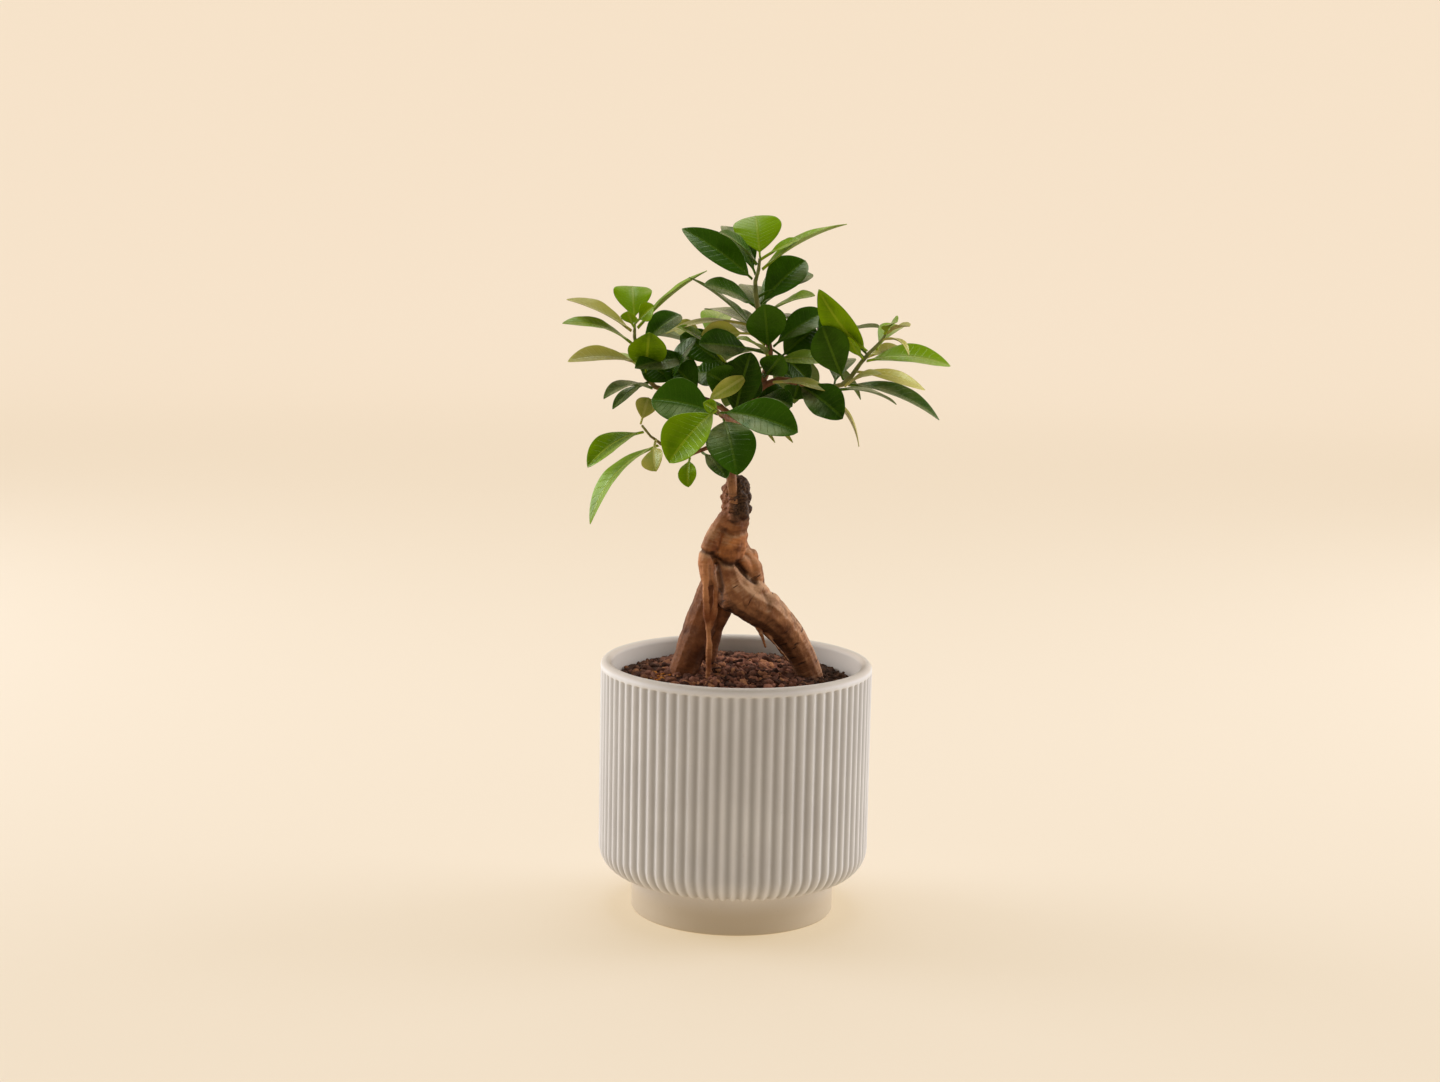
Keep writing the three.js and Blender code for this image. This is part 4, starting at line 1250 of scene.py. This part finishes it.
# %% Small leaves
SMALL_LEAVES = [
    ((10, 4, 222), (28, 2, 229), (0, -0.5, 0.9), 9, 1, "fresh"),
    ((9, 6, 200), (35, 14, 211), (-0.2, -0.6, 0.8), 15, 2, "mature"),
    ((-5, -3, 177), (-39, -8, 181), (0, -0.35, 0.95), 9, 6, "young"),
    ((-13, -6, 176), (-33, -14, 185), (0.1, -0.6, 0.8), 10, 3, "fresh"),
    ((0, 0, 177), (-21, -10, 181), (0.2, -0.8, 0.5), 12, 2, "young"),
    ((-21, 0, 172), (-54, -14, 164), (-0.1, -0.7, 0.7), 16, 3, "mature"),
    ((-27, 8, 157), (-51, 8, 166), (-0.1, -0.8, 0.5), 18, 2, "mature"),
    ((-56, -2, 185), (-45, -10, 195), (0, -1, 0.3), 10, 1, "fresh"),
    ((-54, -2, 182), (-58, -12, 192), (-0.2, -0.9, 0.4), 9, 1, "fresh"),
    ((-50, 4, 153), (-65, -12, 143), (-0.3, -0.5, 0.8), 8, 2, "mature"),
    ((-39, -19, 133), (-42, -36, 115), (-0.4, -0.9, 0.1), 13, 2, "young"),
    ((-4, -10, 170), (-16, -32, 151), (0.5, -0.6, 0.5), 9, 2, "young"),
    ((-11, -40, 144), (-19, -50, 151), (-0.2, -0.9, 0.4), 7, 1, "fresh"),
    ((2, -4, 172), (-22, -18, 177), (0, -0.8, 0.6), 18, 2, "mature"),
    ((10, -2, 162), (-4, -14, 151), (0.1, -0.9, 0.4), 17, 2, "mature"),
    ((19, 2, 174), (34, 4, 157), (0.2, -0.8, 0.5), 14, 2, "mature"),
    ((15, -8, 157), (42, -20, 155), (0, -0.35, 1), 9, 2, "young"),
    ((57, -4, 177), (39, 6, 191), (-0.3, -0.8, 0.5), 14, 2, "mature"),
    ((60, -6, 171), (82, 6, 174), (0.1, -0.4, 0.9), 9, 2, "young"),
    ((71, -9, 183), (76, -20, 190), (0, -0.6, 0.8), 11, 1, "fresh"),
    ((71, -9, 180), (83, -14, 173), (0.3, -0.3, 0.9), 6, 4, "young"),
    ((51, -10, 157), (69, -22, 164), (0.1, -0.5, 0.9), 9, 2, "young"),
    ((60, -10, 171), (52, -18, 182), (-0.5, -0.8, 0.2), 7, 1, "fresh"),
    ((6, -2, 140), (17, -16, 128), (0.4, -0.7, 0.5), 3, 1, "young"),
    ((14, -2, 141), (26, -14, 128), (0.4, -0.7, 0.5), 3, 1, "young"),
    ((2, 6, 160), (-24, 14, 160), (0, -0.8, 0.6), 20, 2, "mature"),
    ((10, 8, 165), (34, 14, 152), (0, -0.7, 0.7), 20, 2, "mature"),
    ((3, 4, 145), (25, 14, 147), (0, -0.8, 0.6), 18, 2, "mature"),
    ((-2, -8, 150), (-18, -22, 163), (0, -0.9, 0.4), 17, 2, "mature"),
    ((-36, 10, 152), (-28, 34, 162), (-0.1, 0.4, 0.9), 15, 3, "mature"),
    ((-48, 6, 158), (-70, 24, 168), (-0.2, 0.3, 0.9), 14, 3, "fresh"),
    ((8, 5, 190), (2, 34, 204), (0, 0.3, 0.9), 16, 3, "mature"),
    ((10, 4, 185), (34, 30, 186), (0.2, 0.3, 0.9), 17, 3, "mature"),
    ((12, 2, 176), (-14, 24, 184), (-0.2, 0.2, 0.9), 15, 3, "fresh"),
    ((46, -6, 157), (52, 22, 168), (0.1, 0.3, 0.9), 16, 3, "mature"),
    ((30, 24, 171), (16, 44, 186), (0, 0.5, 0.8), 15, 2, "fresh"),
    ((6, 10, 158), (-8, 40, 140), (-0.1, 0.7, 0.6), 18, 4, "mature"),
    ((20, 12, 168), (28, 44, 142), (0.1, 0.7, 0.6), 18, 4, "mature"),
    ((-20, 8, 147), (-22, 30, 128), (-0.2, 0.7, 0.5), 16, 3, "mature"),
    ((66, -9, 176), (80, 14, 186), (0.1, 0.2, 1), 12, 2, "fresh"),
    ((-20, 6, 150), (-39, 8, 167), (0.1, -0.9, 0.4), 19, 2, "mature"),
    ((-8, 8, 163), (-32, 10, 179), (0, -0.9, 0.5), 18, 2, "mature"),
    ((12, 10, 168), (37, 12, 184), (0.1, -0.9, 0.4), 19, 2, "mature"),
    ((4, 8, 148), (-11, 14, 163), (0.1, -0.9, 0.4), 17, 2, "mature"),
    ((-10, -4, 150), (-27, -16, 146), (0, -0.8, 0.6), 14, 2, "mature"),
    ((10, -4, 160), (19, -18, 172), (0.2, -0.9, 0.3), 15, 2, "mature"),
    ((30, -4, 164), (26, -14, 150), (0.1, -0.9, 0.5), 13, 2, "mature"),
]
twig_spots = points_of(branches.data)


def rooted(spot):
    """The closest point on a branch, drawn a little into the wood."""
    gap = np.linalg.norm(twig_spots - spot, axis=1)
    closest = twig_spots[gap.argmin()]
    return closest - (spot - closest) / max(gap.min(), 1e-6) * 0.0003, gap.min()


for number, (foot, tip, faces, wide, arch, age) in enumerate(SMALL_LEAVES, 1):
    slot = "leaf_" + age
    lifted = np.array([0, 0, SOIL_TOP])
    start, spare = rooted((np.array(foot) + lifted) * MM)
    end = (np.array(tip) + lifted) * MM
    length = np.linalg.norm(end - start)
    direction = (end - start) / length
    up, side = squared(np.array(faces, dtype=float), direction)
    stalk = min(0.4 * length, spare + 0.0025)
    sizes = (length, wide * MM, arch * MM, stalk)
    seat(grow_leaf(f"small_leaf_{number}", slot, start, direction, side, up, *sizes), slot)
print("small leaves:", len(SMALL_LEAVES))

# %% Sizes and finish
drawn_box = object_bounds()
sizes = {"cad": [list(c) for c in measured_box], "visual": [list(c) for c in drawn_box]}
print("measured", [tuple(round(v, 4) for v in c) for c in measured_box])
print("drawn   ", [tuple(round(v, 4) for v in c) for c in drawn_box])
